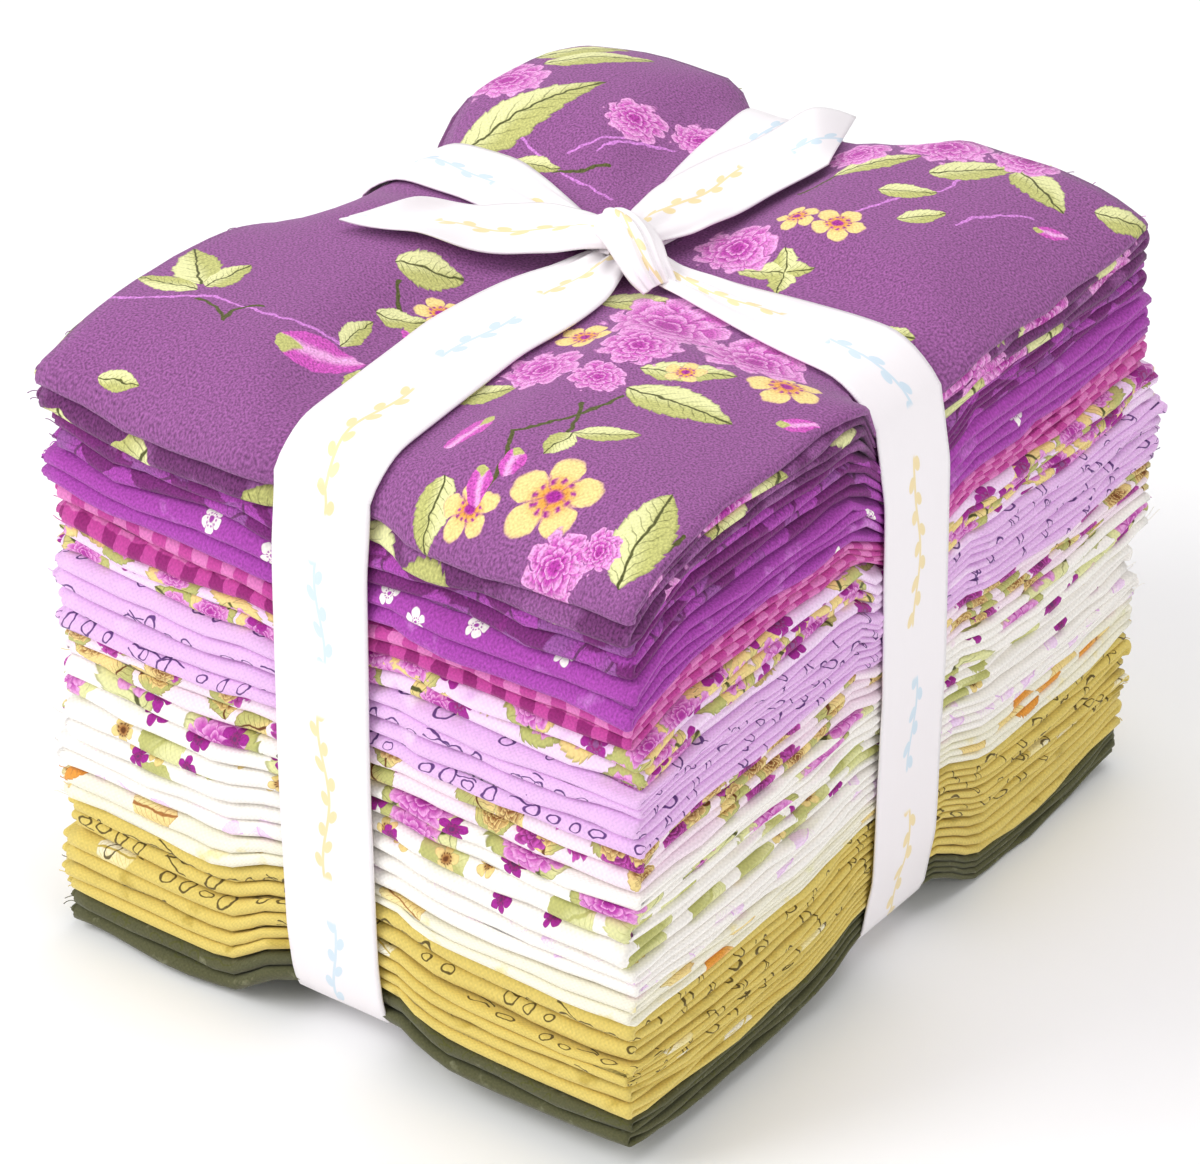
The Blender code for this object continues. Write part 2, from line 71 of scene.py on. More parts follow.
lens = bpy.data.cameras.new("camera")
lens.sensor_fit = "HORIZONTAL"
lens.sensor_width = SENSOR_WIDTH
lens.lens = FOCAL_LENGTH
lens.clip_start = 0.01
camera = bpy.data.objects.new("camera", lens)
bpy.context.scene.collection.objects.link(camera)
camera.matrix_world = (
    Matrix.Translation(CAMERA_PLACE)
    @ Matrix.Rotation(math.radians(CAMERA_HEADING), 4, "Z")
    @ Matrix.Rotation(math.radians(90 - CAMERA_TILT), 4, "X")
    @ Matrix.Rotation(math.radians(CAMERA_ROLL), 4, "Z")
)
bpy.context.scene.camera = camera
print("camera looks along", [round(value, 3) for value in camera.matrix_world.to_3x3() @ Vector((0, 0, -1))])

# %% [markdown]
# ## Floor and light
#
# The bundle is shown as in a shop picture: a floor so pale that it runs into the backdrop, and broad soft
# light. The strongest panel stands to the camera's left and lights the front with its round folds. One hangs
# above, and the weakest fills from the right, so the layered edges there stay darker and deeper in colour.
# The colours are shown as they are, with the plain view transform.

# %% Floor and light
FLOOR_SIZE = 6.0
WORLD_LIGHT = 0.47

bpy.context.scene.view_settings.view_transform = "Standard"
bpy.context.scene.view_settings.look = "None"

bpy.ops.mesh.primitive_plane_add(size=FLOOR_SIZE)
floor = bpy.context.object
floor.name = "floor"
floor_material = bpy.data.materials.new("floor")
floor_material.use_nodes = True
floor_shader = floor_material.node_tree.nodes["Principled BSDF"]
floor_shader.inputs["Base Color"].default_value = (0.96, 0.965, 0.97, 1)
floor_shader.inputs["Roughness"].default_value = 0.9
floor.data.materials.append(floor_material)

world = bpy.data.worlds.new("world")
world.use_nodes = True
world.node_tree.nodes["Background"].inputs["Color"].default_value = (1.0, 0.99, 0.99, 1)
world.node_tree.nodes["Background"].inputs["Strength"].default_value = WORLD_LIGHT
bpy.context.scene.world = world

PANELS = (
    # name, place, size, power in watts
    ("key_panel", (-0.75, -0.80, 0.85), 0.9, 13.0),
    ("top_panel", (0.10, 0.35, 1.30), 1.0, 7.0),
    ("fill_panel", (1.15, -0.35, 0.55), 0.9, 3.9),
)
LIT_POINT = Vector((0, 0, 0.06))
for name, place, size, power in PANELS:
    panel = bpy.data.lights.new(name, "AREA")
    panel.shape = "SQUARE"
    panel.size = size
    panel.energy = power
    light = bpy.data.objects.new(name, panel)
    light.location = place
    light.rotation_euler = (LIT_POINT - Vector(place)).to_track_quat("-Z", "Y").to_euler()
    bpy.context.scene.collection.objects.link(light)
    print(name, "is", round((LIT_POINT - Vector(place)).length, 2), "m away")

# %% [markdown]
# ## How the stack lies
#
# The ribbon pulls the stack in along two lines and presses a trough into the top and the bottom. Between the
# troughs the cloth crowns up, and it falls away again at the sides, where the folded edges are thinner. The
# cloths near the top follow its shape and those near the bottom follow that one, and in the middle of the
# stack they lie almost flat. The sizes are those of the solids, in millimetres from the middle of the folded
# cloths. Only the reach of the falls beside the ribbon is softer here than in the solids.

# %% Sizes of the stack
WIDTH = 114.0  # along X, an 18 in side folded in four
DEPTH = 144.0  # along Y, a 22 1/2 in side folded in four
HEIGHT = 114.0
MIDDLE = (-0.4254, -2.2918)  # where the middle of the folded cloths lies in the frame
FLAT = (457.0, 572.0)  # one cloth laid out flat

RIBBON_WIDTH = 18.5
TROUGH_HALF = RIBBON_WIDTH / 2 + 0.8
TROUGH_SLOPE = 14.0
TROUGH_TOP = 5.0
TROUGH_BOTTOM = 4.0
EDGE_REACH = 18.0
EDGE_POWER = 1.5  # how the fall at a side dies away inwards
BLEND_POWER = 6  # how nearly the strongest of several falls wins where they meet

LONG_WAY = ((-72, -0.7), (-28, -4.4), (7, -2.0), (72, -9.4))  # y, x of the ribbon's line along Y
SHORT_WAY = ((-57, 15.8), (-35, 16.5), (-1, 7.0), (57, 3.2))  # x, y of the ribbon's line along X

TOP_FALL = {
    # side: first corner, first crown, under the band, second crown, second corner
    "front": (5.0, 8.0, 11.0, 9.0, 8.0),
    "back": (6.8, 4.6, 12.0, 2.2, 4.0),
    "left": (5.0, 1.2, 11.8, 3.4, 6.5),
    "right": (5.0, 1.6, 12.5, 6.8, 6.0),
}
BOTTOM_LIFT = {
    "front": (0.8, 0.6, 8.6, 4.4, 5.2),
    "back": (4.0, 1.0, 6.5, 0.3, 2.0),
    "left": (1.0, 0.6, 6.5, 1.0, 4.0),
    "right": (4.4, 3.0, 7.6, 0.0, 2.4),
}
TOP_REACH = {"front": (5.5, 5.5), "back": (4.0, 24.0), "left": (38.0, 13.0), "right": (4.0, 6.5)}
BOTTOM_REACH = {"front": (14.0, 14.0), "back": (14.0, 14.0), "left": (16.0, 16.0), "right": (20.0, 16.0)}
HELD = {"front": (-1.8, 0.6), "back": (-1.4, 2.6), "left": (-1.8, 0.6), "right": (-1.4, 1.4)}
HELD_STOPS = (0.0, 0.12, 0.5, 0.88, 1.0)
HELD_SHARE = (0.0, 0.75, 1.0, 0.75, 0.0)

CLOTHS = (
    # node, thickness where the stack is full, reach past the left, right, front and back sides
    ("cloth_01_plum_floral", 9.2, (0.5, 1.6, 1.6, 0.6)),
    ("cloth_02_purple_tonal", 6.8, (-1.4, 0.6, 0.3, 1.4)),
    ("cloth_03_orchid_sprig", 8.2, (0.0, 1.4, 1.2, 3.0)),
    ("cloth_04_pink_gingham", 6.4, (-1.6, 0.8, 0.2, 2.8)),
    ("cloth_05_lilac_floral", 6.2, (-1.0, 2.0, -0.2, 5.0)),
    ("cloth_06_lilac_loops", 6.6, (-0.8, 2.6, 0.8, 6.2)),
    ("cloth_07_lilac_loops", 6.6, (-1.2, 2.4, 1.4, 6.0)),
    ("cloth_08_brown_gold_floral", 6.8, (-1.6, 1.6, 0.2, 5.0)),
    ("cloth_09_pink_plum_floral", 7.8, (-1.2, 2.2, 0.9, 5.0)),
    ("cloth_10_green_leaf", 7.4, (-0.4, 0.6, 1.3, 2.0)),
    ("cloth_11_faint_lilac", 6.6, (1.8, 1.4, 0.6, 3.6)),
    ("cloth_12_cream_mottled", 6.2, (0.4, 1.2, 1.2, 3.6)),
    ("cloth_13_golden_loops", 6.2, (0.0, 0.8, 0.2, 2.4)),
    ("cloth_14_golden_loops", 6.2, (1.0, 1.2, 1.1, 1.6)),
    ("cloth_15_golden_plain", 6.2, (1.2, 1.0, 1.2, 1.2)),
    ("cloth_16_dark_olive", 6.0, (1.0, 0.6, 0.8, 0.6)),
)
FULL_THICKNESS = sum(cloth[1] for cloth in CLOTHS)
print("cloths:", len(CLOTHS), "mean thickness, mm:", round(FULL_THICKNESS / len(CLOTHS), 2))

# %% Shape of the top and the bottom
def ease(t):
    """0 to 1 with flat ends."""
    t = np.clip(t, 0.0, 1.0)
    return t * t * (3 - 2 * t)


def read_stops(stops, t):
    """Straight-line reading of ((t, value), ...) at t."""
    places, values = zip(*stops)
    return np.interp(t, places, values)


def long_way_x(y):
    return read_stops(LONG_WAY, y)


def short_way_y(x):
    return read_stops(SHORT_WAY, x)


def trough(distance):
    """1 under a band, easing to 0 beside it."""
    return 1 - ease((np.abs(distance) - TROUGH_HALF) / TROUGH_SLOPE)


def side_value(values, reaches, t, half, band):
    """One side's row of TOP_FALL or BOTTOM_LIFT, read at t along a side whose band crosses at band."""
    edge = band - TROUGH_HALF, band + TROUGH_HALF
    places = (-half, EDGE_REACH - half, edge[0] - reaches[0], edge[0])
    places = np.array(places + (edge[1], edge[1] + reaches[1], half - EDGE_REACH, half))
    heights = np.array(values)[[0, 1, 1, 2, 2, 3, 3, 4]]
    n = np.clip(np.searchsorted(places, t) - 1, 0, len(places) - 2)
    share = ease((t - places[n]) / (places[n + 1] - places[n]))
    return heights[n] + (heights[n + 1] - heights[n]) * share


def fade(distance):
    """1 at a side of the stack, 0 from EDGE_REACH inwards."""
    return np.clip(1 - distance / EDGE_REACH, 0.0, None) ** EDGE_POWER


def surface_change(table, reaches, depth, x, y):
    """How far the top falls, or the bottom lifts, at x, y."""
    half_x, half_y = WIDTH / 2, DEPTH / 2
    parts = (
        fade(y + half_y) * side_value(table["front"], reaches["front"], x, half_x, long_way_x(-half_y)),
        fade(half_y - y) * side_value(table["back"], reaches["back"], x, half_x, long_way_x(half_y)),
        fade(x + half_x) * side_value(table["left"], reaches["left"], y, half_y, short_way_y(-half_x)),
        fade(half_x - x) * side_value(table["right"], reaches["right"], y, half_y, short_way_y(half_x)),
        depth * trough(x - long_way_x(y)),
        depth * trough(y - short_way_y(x)),
    )
    return sum(part**BLEND_POWER for part in parts) ** (1 / BLEND_POWER)


def top_height(x, y):
    return HEIGHT - surface_change(TOP_FALL, TOP_REACH, TROUGH_TOP, x, y)


def bottom_height(x, y):
    return surface_change(BOTTOM_LIFT, BOTTOM_REACH, TROUGH_BOTTOM, x, y)


for place in ((0.0, -72.0), (40.0, -40.0), (-1.0, 7.0)):
    print("top at", place, "is", round(float(top_height(*place)), 1), "mm up")

# %% [markdown]
# ## The line between two cloths
#
# A real stack is never ruled: each line between two cloths swells and dips a little, and its neighbours
# follow it. Each line takes its share of the height, plus a slow wave of its own and a finer one.

# %% Lines between the cloths
SWELL = 0.10  # wander of a line, as a share of the mean thickness
SWELL_LENGTH = 30.0
SWELL_CROSS = 1.7  # keeps the waves along Y out of step with those along X
RUCK = 0.45  # a finer wave, in mm
RUCK_LENGTH = 11.0
GOLDEN_ANGLE = 2.399963  # turns each line's waves on, so that no two lines match
FADE = 2.0  # how fast the shape of the top, or of the bottom, dies away into the stack


def line_height(n, x, y):
    """Height of line n, where 0 is the top of the stack and 16 its underside."""
    passed = sum(cloth[1] for cloth in CLOTHS[:n])
    swell = np.sin(GOLDEN_ANGLE * n + x / SWELL_LENGTH)
    swell = swell + np.cos(GOLDEN_ANGLE * SWELL_CROSS * n + y / SWELL_LENGTH)
    ruck = np.sin(GOLDEN_ANGLE * n * n + x / RUCK_LENGTH)
    ruck = ruck * np.cos(GOLDEN_ANGLE * n + y / (RUCK_LENGTH * SWELL_CROSS))
    inner = 0 < n < len(CLOTHS)
    share = passed / FULL_THICKNESS + inner * SWELL / len(CLOTHS) * swell
    fall = (HEIGHT - top_height(x, y)) * (1 - share) ** FADE
    lift = bottom_height(x, y) * share ** FADE
    return HEIGHT * (1 - share) - fall + lift + inner * RUCK * ruck


def held_limit(side, share):
    """How far past the nominal side the ribbon lets the cloth stand, at a share of the height."""
    ends, middle = HELD[side]
    stops = [(stop, ends + (middle - ends) * part) for stop, part in zip(HELD_STOPS, HELD_SHARE)]
    return read_stops(stops, share)


HELD_SLACK = 0.25
RELEASE_START = 9.0  # how far from the ribbon's line the cloth starts to spread again
RELEASE_LENGTH = 8.0
BANDS = {
    "left": float(short_way_y(-WIDTH / 2)),
    "right": float(short_way_y(WIDTH / 2)),
    "front": float(long_way_x(-DEPTH / 2)),
    "back": float(long_way_x(DEPTH / 2)),
}


def release(side, other, t):
    """0 where the ribbon holds either of two sides, 1 where both are free, at t along them."""
    away = np.minimum(np.abs(t - BANDS[side]), np.abs(t - BANDS[other]))
    return ease((away - RELEASE_START) / RELEASE_LENGTH)


def reach(side, number, t):
    """How far cloth number stands past a side, at t along that side."""
    free = CLOTHS[number][2][("left", "right", "front", "back").index(side)]
    above = sum(cloth[1] for cloth in CLOTHS[:number]) + CLOTHS[number][1] / 2
    held = min(free, held_limit(side, 1 - above / FULL_THICKNESS) - HELD_SLACK)
    return held + (free - held) * release(side, side, t)


print("the ribbon crosses the sides at, mm:", {side: round(place, 1) for side, place in BANDS.items()})

# %% [markdown]
# ## Guides
#
# A guide is a mesh that nobody sees. It carries what a Geometry Nodes tree has to know about a place: here,
# for each spot of the plan, how high the room for one cloth starts and ends, and how far the cloth reaches
# past each side. The tree reads these with Sample UV Surface, which finds a spot by its UV place. The same
# helper makes the bed that the ribbon lies on.

# %% Guide meshes
def guide_mesh(name, places, uv, **stored):
    """A grid mesh from an array of places (rows, columns, 3), with a UV place and vectors at each."""
    rows, columns = places.shape[:2]
    index = np.arange(rows * columns).reshape(rows, columns)
    corners = (index[:-1, :-1], index[1:, :-1], index[1:, 1:], index[:-1, 1:])
    faces = np.stack([corner.ravel() for corner in corners], axis=1)
    mesh = bpy.data.meshes.new(name)
    mesh.from_pydata(places.reshape(-1, 3).tolist(), [], faces.tolist())
    layer = mesh.uv_layers.new(name="place")
    layer.data.foreach_set("uv", uv.reshape(-1, 2)[faces.ravel()].astype(np.float32).ravel())
    for key, values in stored.items():
        attribute = mesh.attributes.new(key, "FLOAT_VECTOR", "POINT")
        attribute.data.foreach_set("vector", values.astype(np.float32).ravel())
    guide = bpy.data.objects.new(name, mesh)
    bpy.context.scene.collection.objects.link(guide)
    return guide


def vectors(*parts):
    """Stacks up to three arrays, with zeros for those left out, as vectors."""
    shape = np.broadcast(*parts).shape
    padded = parts + (np.zeros(shape),) * (3 - len(parts))
    return np.stack([np.broadcast_to(part, shape) for part in padded], axis=-1)


PLAN_HALF = (68.0, 86.0)  # half the plan that a cloth's guide covers
PLAN_STEP = 2.0


def cloth_guide(number):
    """The room for one cloth: heights, and reaches past the sides, in metres."""
    x = np.arange(-PLAN_HALF[0], PLAN_HALF[0] + PLAN_STEP / 2, PLAN_STEP)[:, None]
    y = np.arange(-PLAN_HALF[1], PLAN_HALF[1] + PLAN_STEP / 2, PLAN_STEP)[None, :]
    x, y = np.broadcast_arrays(x, y)
    upper = line_height(number, x, y)
    lower = line_height(number + 1, x, y)
    uv = np.stack([x / PLAN_HALF[0] / 2 + 0.5, y / PLAN_HALF[1] / 2 + 0.5], axis=-1)
    left, right = reach("left", number, y) * MM, reach("right", number, y) * MM
    front, back = reach("front", number, x) * MM, reach("back", number, x) * MM
    return guide_mesh(
        f"room_{number + 1:02d}",
        vectors(x, y, upper) * MM,
        uv,
        heights=vectors(upper, lower) * MM,
        reach_x=vectors(left, right, release("left", "right", y)),
        reach_y=vectors(front, back, release("front", "back", x)),
    )


rooms = [cloth_guide(number) for number in range(len(CLOTHS))]
print("guides:", len(rooms), "each with", len(rooms[0].data.vertices), "spots")

# %% [markdown]
# ## Sums written as nodes
#
# Both the shape of the folds and the printed motifs are sums worked out at each point by Math nodes. Wired
# by hand, such a tree has hundreds of lines that say nothing. A Field is one socket of a tree with Python's
# own signs: writing `a * b + 1` adds a Multiply and an Add node and links them. The same class serves
# Geometry Nodes and shaders, because both have the same Math nodes.

# %% Fields
class Field:
    """A number or a vector that a node tree works out at each point."""

    def __init__(self, tree, socket):
        self.tree = tree
        self.socket = socket
        self.parts = None

    def is_vector(self):
        return self.socket.type in ("VECTOR", "RGBA")

    def math(self, operation, *others):
        vector = self.is_vector() or any(isinstance(other, Field) and other.is_vector() for other in others)
        kind = "ShaderNodeVectorMath" if vector else "ShaderNodeMath"
        return add_node(self.tree, kind, self, *others, operation=operation)

    def scaled(self, factor):
        node = self.tree.nodes.new("ShaderNodeVectorMath")
        node.operation = "SCALE"
        feed(self.tree, node.inputs[0], self)
        feed(self.tree, node.inputs["Scale"], factor)
        return Field(self.tree, node.outputs[0])

    def __add__(self, other):
        return self.math("ADD", other)

    def __sub__(self, other):
        return self.math("SUBTRACT", other)

    def __rsub__(self, other):
        return add_node(self.tree, "ShaderNodeMath", other, self, operation="SUBTRACT")

    def __mul__(self, other):
        by_vector = isinstance(other, tuple) or (isinstance(other, Field) and other.is_vector())
        if self.is_vector() and not by_vector:
            return self.scaled(other)
        return self.math("MULTIPLY", other)

    def __truediv__(self, other):
        return self.math("DIVIDE", other)

    def __neg__(self):
        return self * -1.0

    def __abs__(self):
        return self.math("ABSOLUTE")

    __radd__ = __add__
    __rmul__ = __mul__

    def part(self, n):
        """One of the three parts. All come from one node, which keeps a long shader within its limits."""
        if self.parts is None:
            kind = "ShaderNodeSeparateColor" if self.socket.type == "RGBA" else "ShaderNodeSeparateXYZ"
            node = add_node(self.tree, kind, self).socket.node
            self.parts = [Field(self.tree, socket) for socket in node.outputs]
        return self.parts[n]

    @property
    def x(self):
        return self.part(0)

    @property
    def y(self):
        return self.part(1)

    @property
    def z(self):
        return self.part(2)

    def floor(self):
        return self.math("FLOOR")

    def fract(self):
        return self.math("FRACT")

    def sin(self):
        return self.math("SINE")

    def cos(self):
        return self.math("COSINE")

    def root(self):
        return self.math("SQRT")

    def power(self, exponent):
        return self.math("POWER", exponent)

    def least(self, other):
        return self.math("MINIMUM", other)

    def most(self, other):
        return self.math("MAXIMUM", other)

    def below(self, limit):
        return self.math("LESS_THAN", limit)

    def above(self, limit):
        return self.math("GREATER_THAN", limit)

    def length(self):
        return add_node(self.tree, "ShaderNodeVectorMath", self, operation="LENGTH", output="Value")

    def smooth(self, low, high):
        """0 at low, 1 at high, with a soft start and end."""
        return add_node(
            self.tree, "ShaderNodeMapRange", self, low, high, 0.0, 1.0, interpolation_type="SMOOTHSTEP"
        )

    def blend(self, other, share):
        """This field where share is 0, the other where it is 1."""
        return blend(self.tree, self, other, share)


def feed(tree, socket, value):
    """Links a field to a socket, or sets the socket to a plain value."""
    if isinstance(value, Field):
        tree.links.new(value.socket, socket)
    elif isinstance(value, bpy.types.NodeSocket):
        tree.links.new(value, socket)
    elif value is not None:
        if isinstance(value, tuple) and socket.type == "RGBA" and len(value) == 3:
            value = (*value, 1.0)
        if isinstance(value, (int, float)) and socket.type == "VECTOR":
            value = (value, value, value)
        socket.default_value = value


def add_node(tree, kind, *inputs, output=0, named=(), **settings):
    """Adds a node with its settings, feeds its inputs in order and by name, and returns one output."""
    node = tree.nodes.new(kind)
    for name, value in settings.items():
        setattr(node, name, value)
    for socket, value in zip(node.inputs, inputs):
        feed(tree, socket, value)
    for name, value in dict(named).items():
        feed(tree, node.inputs[name], value)
    return Field(tree, node.outputs[output])


def blend(tree, first, second, share):
    """A Mix node of numbers, vectors or colours, whichever the two are."""
    node = tree.nodes.new("ShaderNodeMix")
    kinds = [value.socket.type for value in (first, second) if isinstance(value, Field)]
    if "RGBA" in kinds or (not kinds and isinstance(first, tuple)) or isinstance(second, tuple):
        node.data_type = "RGBA"
        sockets = (6, 7, 2)
    elif "VECTOR" in kinds:
        node.data_type = "VECTOR"
        sockets = (4, 5, 1)
    else:
        node.data_type = "FLOAT"
        sockets = (2, 3, 0)
    feed(tree, node.inputs[0], share)
    feed(tree, node.inputs[sockets[0]], first)
    feed(tree, node.inputs[sockets[1]], second)
    return Field(tree, node.outputs[sockets[2]])


def pack(tree, *parts):
    """A vector field from its parts."""
    return add_node(tree, "ShaderNodeCombineXYZ", *parts)


def open_tree(name, kind, inputs, outputs):
    """A node group with named sockets; returns it, its inputs as fields, and its output node."""
    tree = bpy.data.node_groups.new(name, kind)
    for side, sockets in (("INPUT", inputs), ("OUTPUT", outputs)):
        for socket_name, (socket_kind, default) in sockets.items():
            socket_type = "NodeSocket" + socket_kind
            socket = tree.interface.new_socket(socket_name, in_out=side, socket_type=socket_type)
            if default is not None:
                socket.default_value = default
    entry = tree.nodes.new("NodeGroupInput")
    given = {socket.name: Field(tree, socket) for socket in entry.outputs if socket.name}
    return tree, given, tree.nodes.new("NodeGroupOutput")


print("a field knows", sum(callable(member) for member in vars(Field).values()), "sums and readings")

# %% Running a Geometry Nodes tree
def run_tree(tree, name, **given):
    """Runs a tree on an empty mesh and returns what it makes as a plain mesh object."""
    carrier = bpy.data.objects.new(name + "_carrier", bpy.data.meshes.new(name + "_carrier"))
    bpy.context.scene.collection.objects.link(carrier)
    modifier = carrier.modifiers.new(tree.name, "NODES")
    modifier.node_group = tree
    for socket in tree.interface.items_tree:
        if socket.in_out == "INPUT" and socket.name in given:
            modifier[socket.identifier] = given[socket.name]
    made = bpy.data.meshes.new_from_object(carrier.evaluated_get(bpy.context.evaluated_depsgraph_get()))
    bpy.data.objects.remove(carrier)
    made.name = name
    piece = bpy.data.objects.new(name, made)
    bpy.context.scene.collection.objects.link(piece)
    return piece


def thicken(piece, thickness):
    """Gives a sheet its thickness, half to each side, as part of its mesh."""
    solidify = piece.modifiers.new("thickness", "SOLIDIFY")
    solidify.thickness = thickness
    solidify.offset = 0.0
    made = bpy.data.meshes.new_from_object(piece.evaluated_get(bpy.context.evaluated_depsgraph_get()))
    piece.modifiers.clear()
    made.name = piece.name
    piece.data = made
    return piece


print("a tree's result becomes a plain mesh with", run_tree.__name__)

# %% [markdown]
# ## One folded cloth
#
# A fat quarter goes in half and in half again across its 18 inches, which makes a strip of four plies. The
# strip then goes back and forth in four along its 22 1/2 inches: sixteen plies. Seen from the front that
# gives two fat round folds for each cloth, and from the right four thin folded edges, one for each strip,
# with the print on the outside of all of them. The cut edges end up at the back and on the left.
#
# A cloth simulation can fold a sheet, but it won't fold sixteen plies the same way on each run. The fold is
# a rule, though, so a Geometry Nodes tree makes it: a flat grid whose every point knows which ply it is on
# (a floor of its column or row), how far along that ply it has come, and how far round a turn. Half circles
# of growing size join the plies, so no ply cuts through another. The result has a height share between 0
# and 1, which the guide turns into a real height in the stack.

# %% Sizes of a folded cloth
PLIES_ACROSS = 4
STRIPS_ALONG = 4
PLIES = PLIES_ACROSS * STRIPS_ALONG
SHEET_THICKNESS = 0.22 * MM
FREE_EDGE_TUCK = 1.2 * MM
WANDER_LENGTH = 17.0 * MM
NUDGE = 0.001  # keeps a whole number from being read as just under itself

cloth_inputs = {
    "Room": ("Object", None),
    "Steps across": ("Int", 24),
    "Steps along": ("Int", 27),
    "Turn steps across": ("Int", 3),
    "Turn steps along": ("Int", 6),
    "Play": ("Float", 0.15 * MM),
    "Wander": ("Float", 1.1 * MM),
    "Unevenness": ("Float", 0.18),
    "Seed": ("Float", 0.0),
    "Cloth finish": ("Material", None),
}
cloth_tree, given, cloth_out = open_tree(
    "folded cloth", "GeometryNodeTree", cloth_inputs, {"Geometry": ("Geometry", None)}
)
print("plies in a folded cloth:", PLIES, "and inputs of its tree:", len(given))


# %% The flat grid and what each point knows
def path_position(step, straight, turn):
    """From a step number: which ply, how far along it, and how far round the turn after it."""
    period = straight + turn
    ply = ((step + NUDGE) / period).floor()
    local = step - ply * period
    return ply, (local / straight).least(1.0), ((local - straight) / turn).most(0.0)


tree = cloth_tree
columns = given["Steps across"] * PLIES_ACROSS + given["Turn steps across"] * (PLIES_ACROSS - 1)
rows = given["Steps along"] * STRIPS_ALONG + given["Turn steps along"] * (STRIPS_ALONG - 1)
grid = add_node(tree, "GeometryNodeMeshGrid", 1.0, 1.0, columns + 1, rows + 1)
start = add_node(tree, "GeometryNodeInputPosition")
column = ((start.x + 0.5) * columns + 0.5).floor()
row = ((start.y + 0.5) * rows + 0.5).floor()
ply, across, turn_x = path_position(column, given["Steps across"], given["Turn steps across"])
strip, along, turn_y = path_position(row, given["Steps along"], given["Turn steps along"])
print("nodes so far:", len(tree.nodes))


# %% Reading the guide
def even(number):
    """1 where a whole number is even, -1 where it is odd."""
    return 1.0 - (number * 0.5 + NUDGE).fract().above(0.25) * 2.0


def crowded(share, crowd=0.35, waves=3):
    """The same 0 to 1, with points closer together at both ends and on both sides of the ribbon."""
    turn = waves * math.tau
    return share + ((share - 0.5) * turn).sin() * (crowd / turn)


def read_guide(tree, guide, name, u, v):
    """A vector that a guide keeps at one of its UV places."""
    info = add_node(tree, "GeometryNodeObjectInfo", guide, output="Geometry")
    stored = add_node(tree, "GeometryNodeInputNamedAttribute", name, data_type="FLOAT_VECTOR")
    place = add_node(tree, "GeometryNodeInputNamedAttribute", "place", data_type="FLOAT_VECTOR")
    node = tree.nodes.new("GeometryNodeSampleUVSurface")
    node.data_type = "FLOAT_VECTOR"
    for socket, value in zip(node.inputs, (info, stored, place, pack(tree, u, v))):
        feed(tree, socket, value)
    return Field(tree, node.outputs["Value"])


def read_room(name, plan_x, plan_y):
    """The same by a place on the plan, in metres."""
    u = plan_x * (0.5 / PLAN_HALF[0] / MM) + 0.5
    v = plan_y * (0.5 / PLAN_HALF[1] / MM) + 0.5
    return read_guide(tree, given["Room"], name, u, v)


NOISE_STRETCH = 3.2  # noise keeps to the middle of 0 to 1, so it is stretched


def wobble(tree, *place):
    """Smooth noise between about -1 and 1, with a new value at each whole step of a part of place."""
    noise = add_node(tree, "ShaderNodeTexNoise", pack(tree, *place), named={"Scale": 1.0, "Detail": 1.0})
    return (noise - 0.5) * NOISE_STRETCH


HALF_X = WIDTH / 2 * MM
HALF_Y = DEPTH / 2 * MM
toward_x = even(ply)
toward_y = even(strip)
share_x = crowded(across * toward_x + (1.0 - toward_x) * 0.5)
share_y = crowded((toward_y + 1.0) * 0.5 - along * toward_y)
plan_x = (share_x - 0.5) * (2 * HALF_X)
plan_y = (share_y - 0.5) * (2 * HALF_Y)
print("nodes so far:", len(tree.nodes))

# %% Half circles at the turns
# Height above the strip's middle, counted in plies, before and after the turn that follows a ply
before = ply - 2.5 + ply.below(0.5) * 4.0
after = ply - 1.5
level = (before + after) * 0.5 + (before - after) * 0.5 * (turn_x * math.pi).cos()
nose_x = abs(before - after) * 0.5 * (turn_x * math.pi).sin()
radius_y = level * toward_y + 2.0
nose_y = radius_y * (turn_y * math.pi).sin()
rise = (1.0 - (strip + 1.0) / STRIPS_ALONG) + radius_y * (turn_y * math.pi).cos() / PLIES
print("nodes so far:", len(tree.nodes))

# %% Uneven reaches
OUTER_X, OUTER_Y = 1.5, 3.5  # plies from the middle of a turn to its outermost ply
room_heights = read_room("heights", plan_x, plan_y)
pitch = (room_heights.x - room_heights.y) / PLIES
reach_x = read_room("reach_x", plan_x, plan_y)
reach_y = read_room("reach_y", plan_x, plan_y)
seed = given["Seed"]
strip_seed = strip * 3.7 + seed
pair_seed = ((strip + 1.0) * 0.5).floor() * 5.3 + seed
run_x = plan_x / WANDER_LENGTH
run_y = plan_y / WANDER_LENGTH
free_x = given["Wander"] * reach_x.z
free_y = given["Wander"] * reach_y.z
half_sheet = SHEET_THICKNESS / 2
free_edge_x = abs(ply - 1.5).above(1.0) * FREE_EDGE_TUCK
free_edge_y = abs(strip - 1.5).above(1.0)

# The numbers added in the wobbles only keep one side's noise apart from the next
left = -(reach_x.x + wobble(tree, run_y, strip_seed, ply * 0.3 + 11.0) * free_x + HALF_X - half_sheet)
left = left + free_edge_x + pitch * 0.5
right = reach_x.y + wobble(tree, run_y, strip_seed, ply * 0.1 + 23.0) * free_x + HALF_X - half_sheet
right = right - pitch * OUTER_X
front = -(reach_y.x + wobble(tree, run_x, pair_seed, 31.0) * free_y + HALF_Y - half_sheet) + pitch * OUTER_Y
back = reach_y.y + wobble(tree, run_x, pair_seed, ply * 0.3 + 43.0) * free_y + HALF_Y - half_sheet
back = back - (pitch * OUTER_Y).blend(FREE_EDGE_TUCK, free_edge_y)
folded_x = left + (right - left) * share_x + toward_x * nose_x * pitch
folded_y = front + (back - front) * share_y - toward_y * nose_y * pitch
print("nodes so far:", len(tree.nodes))

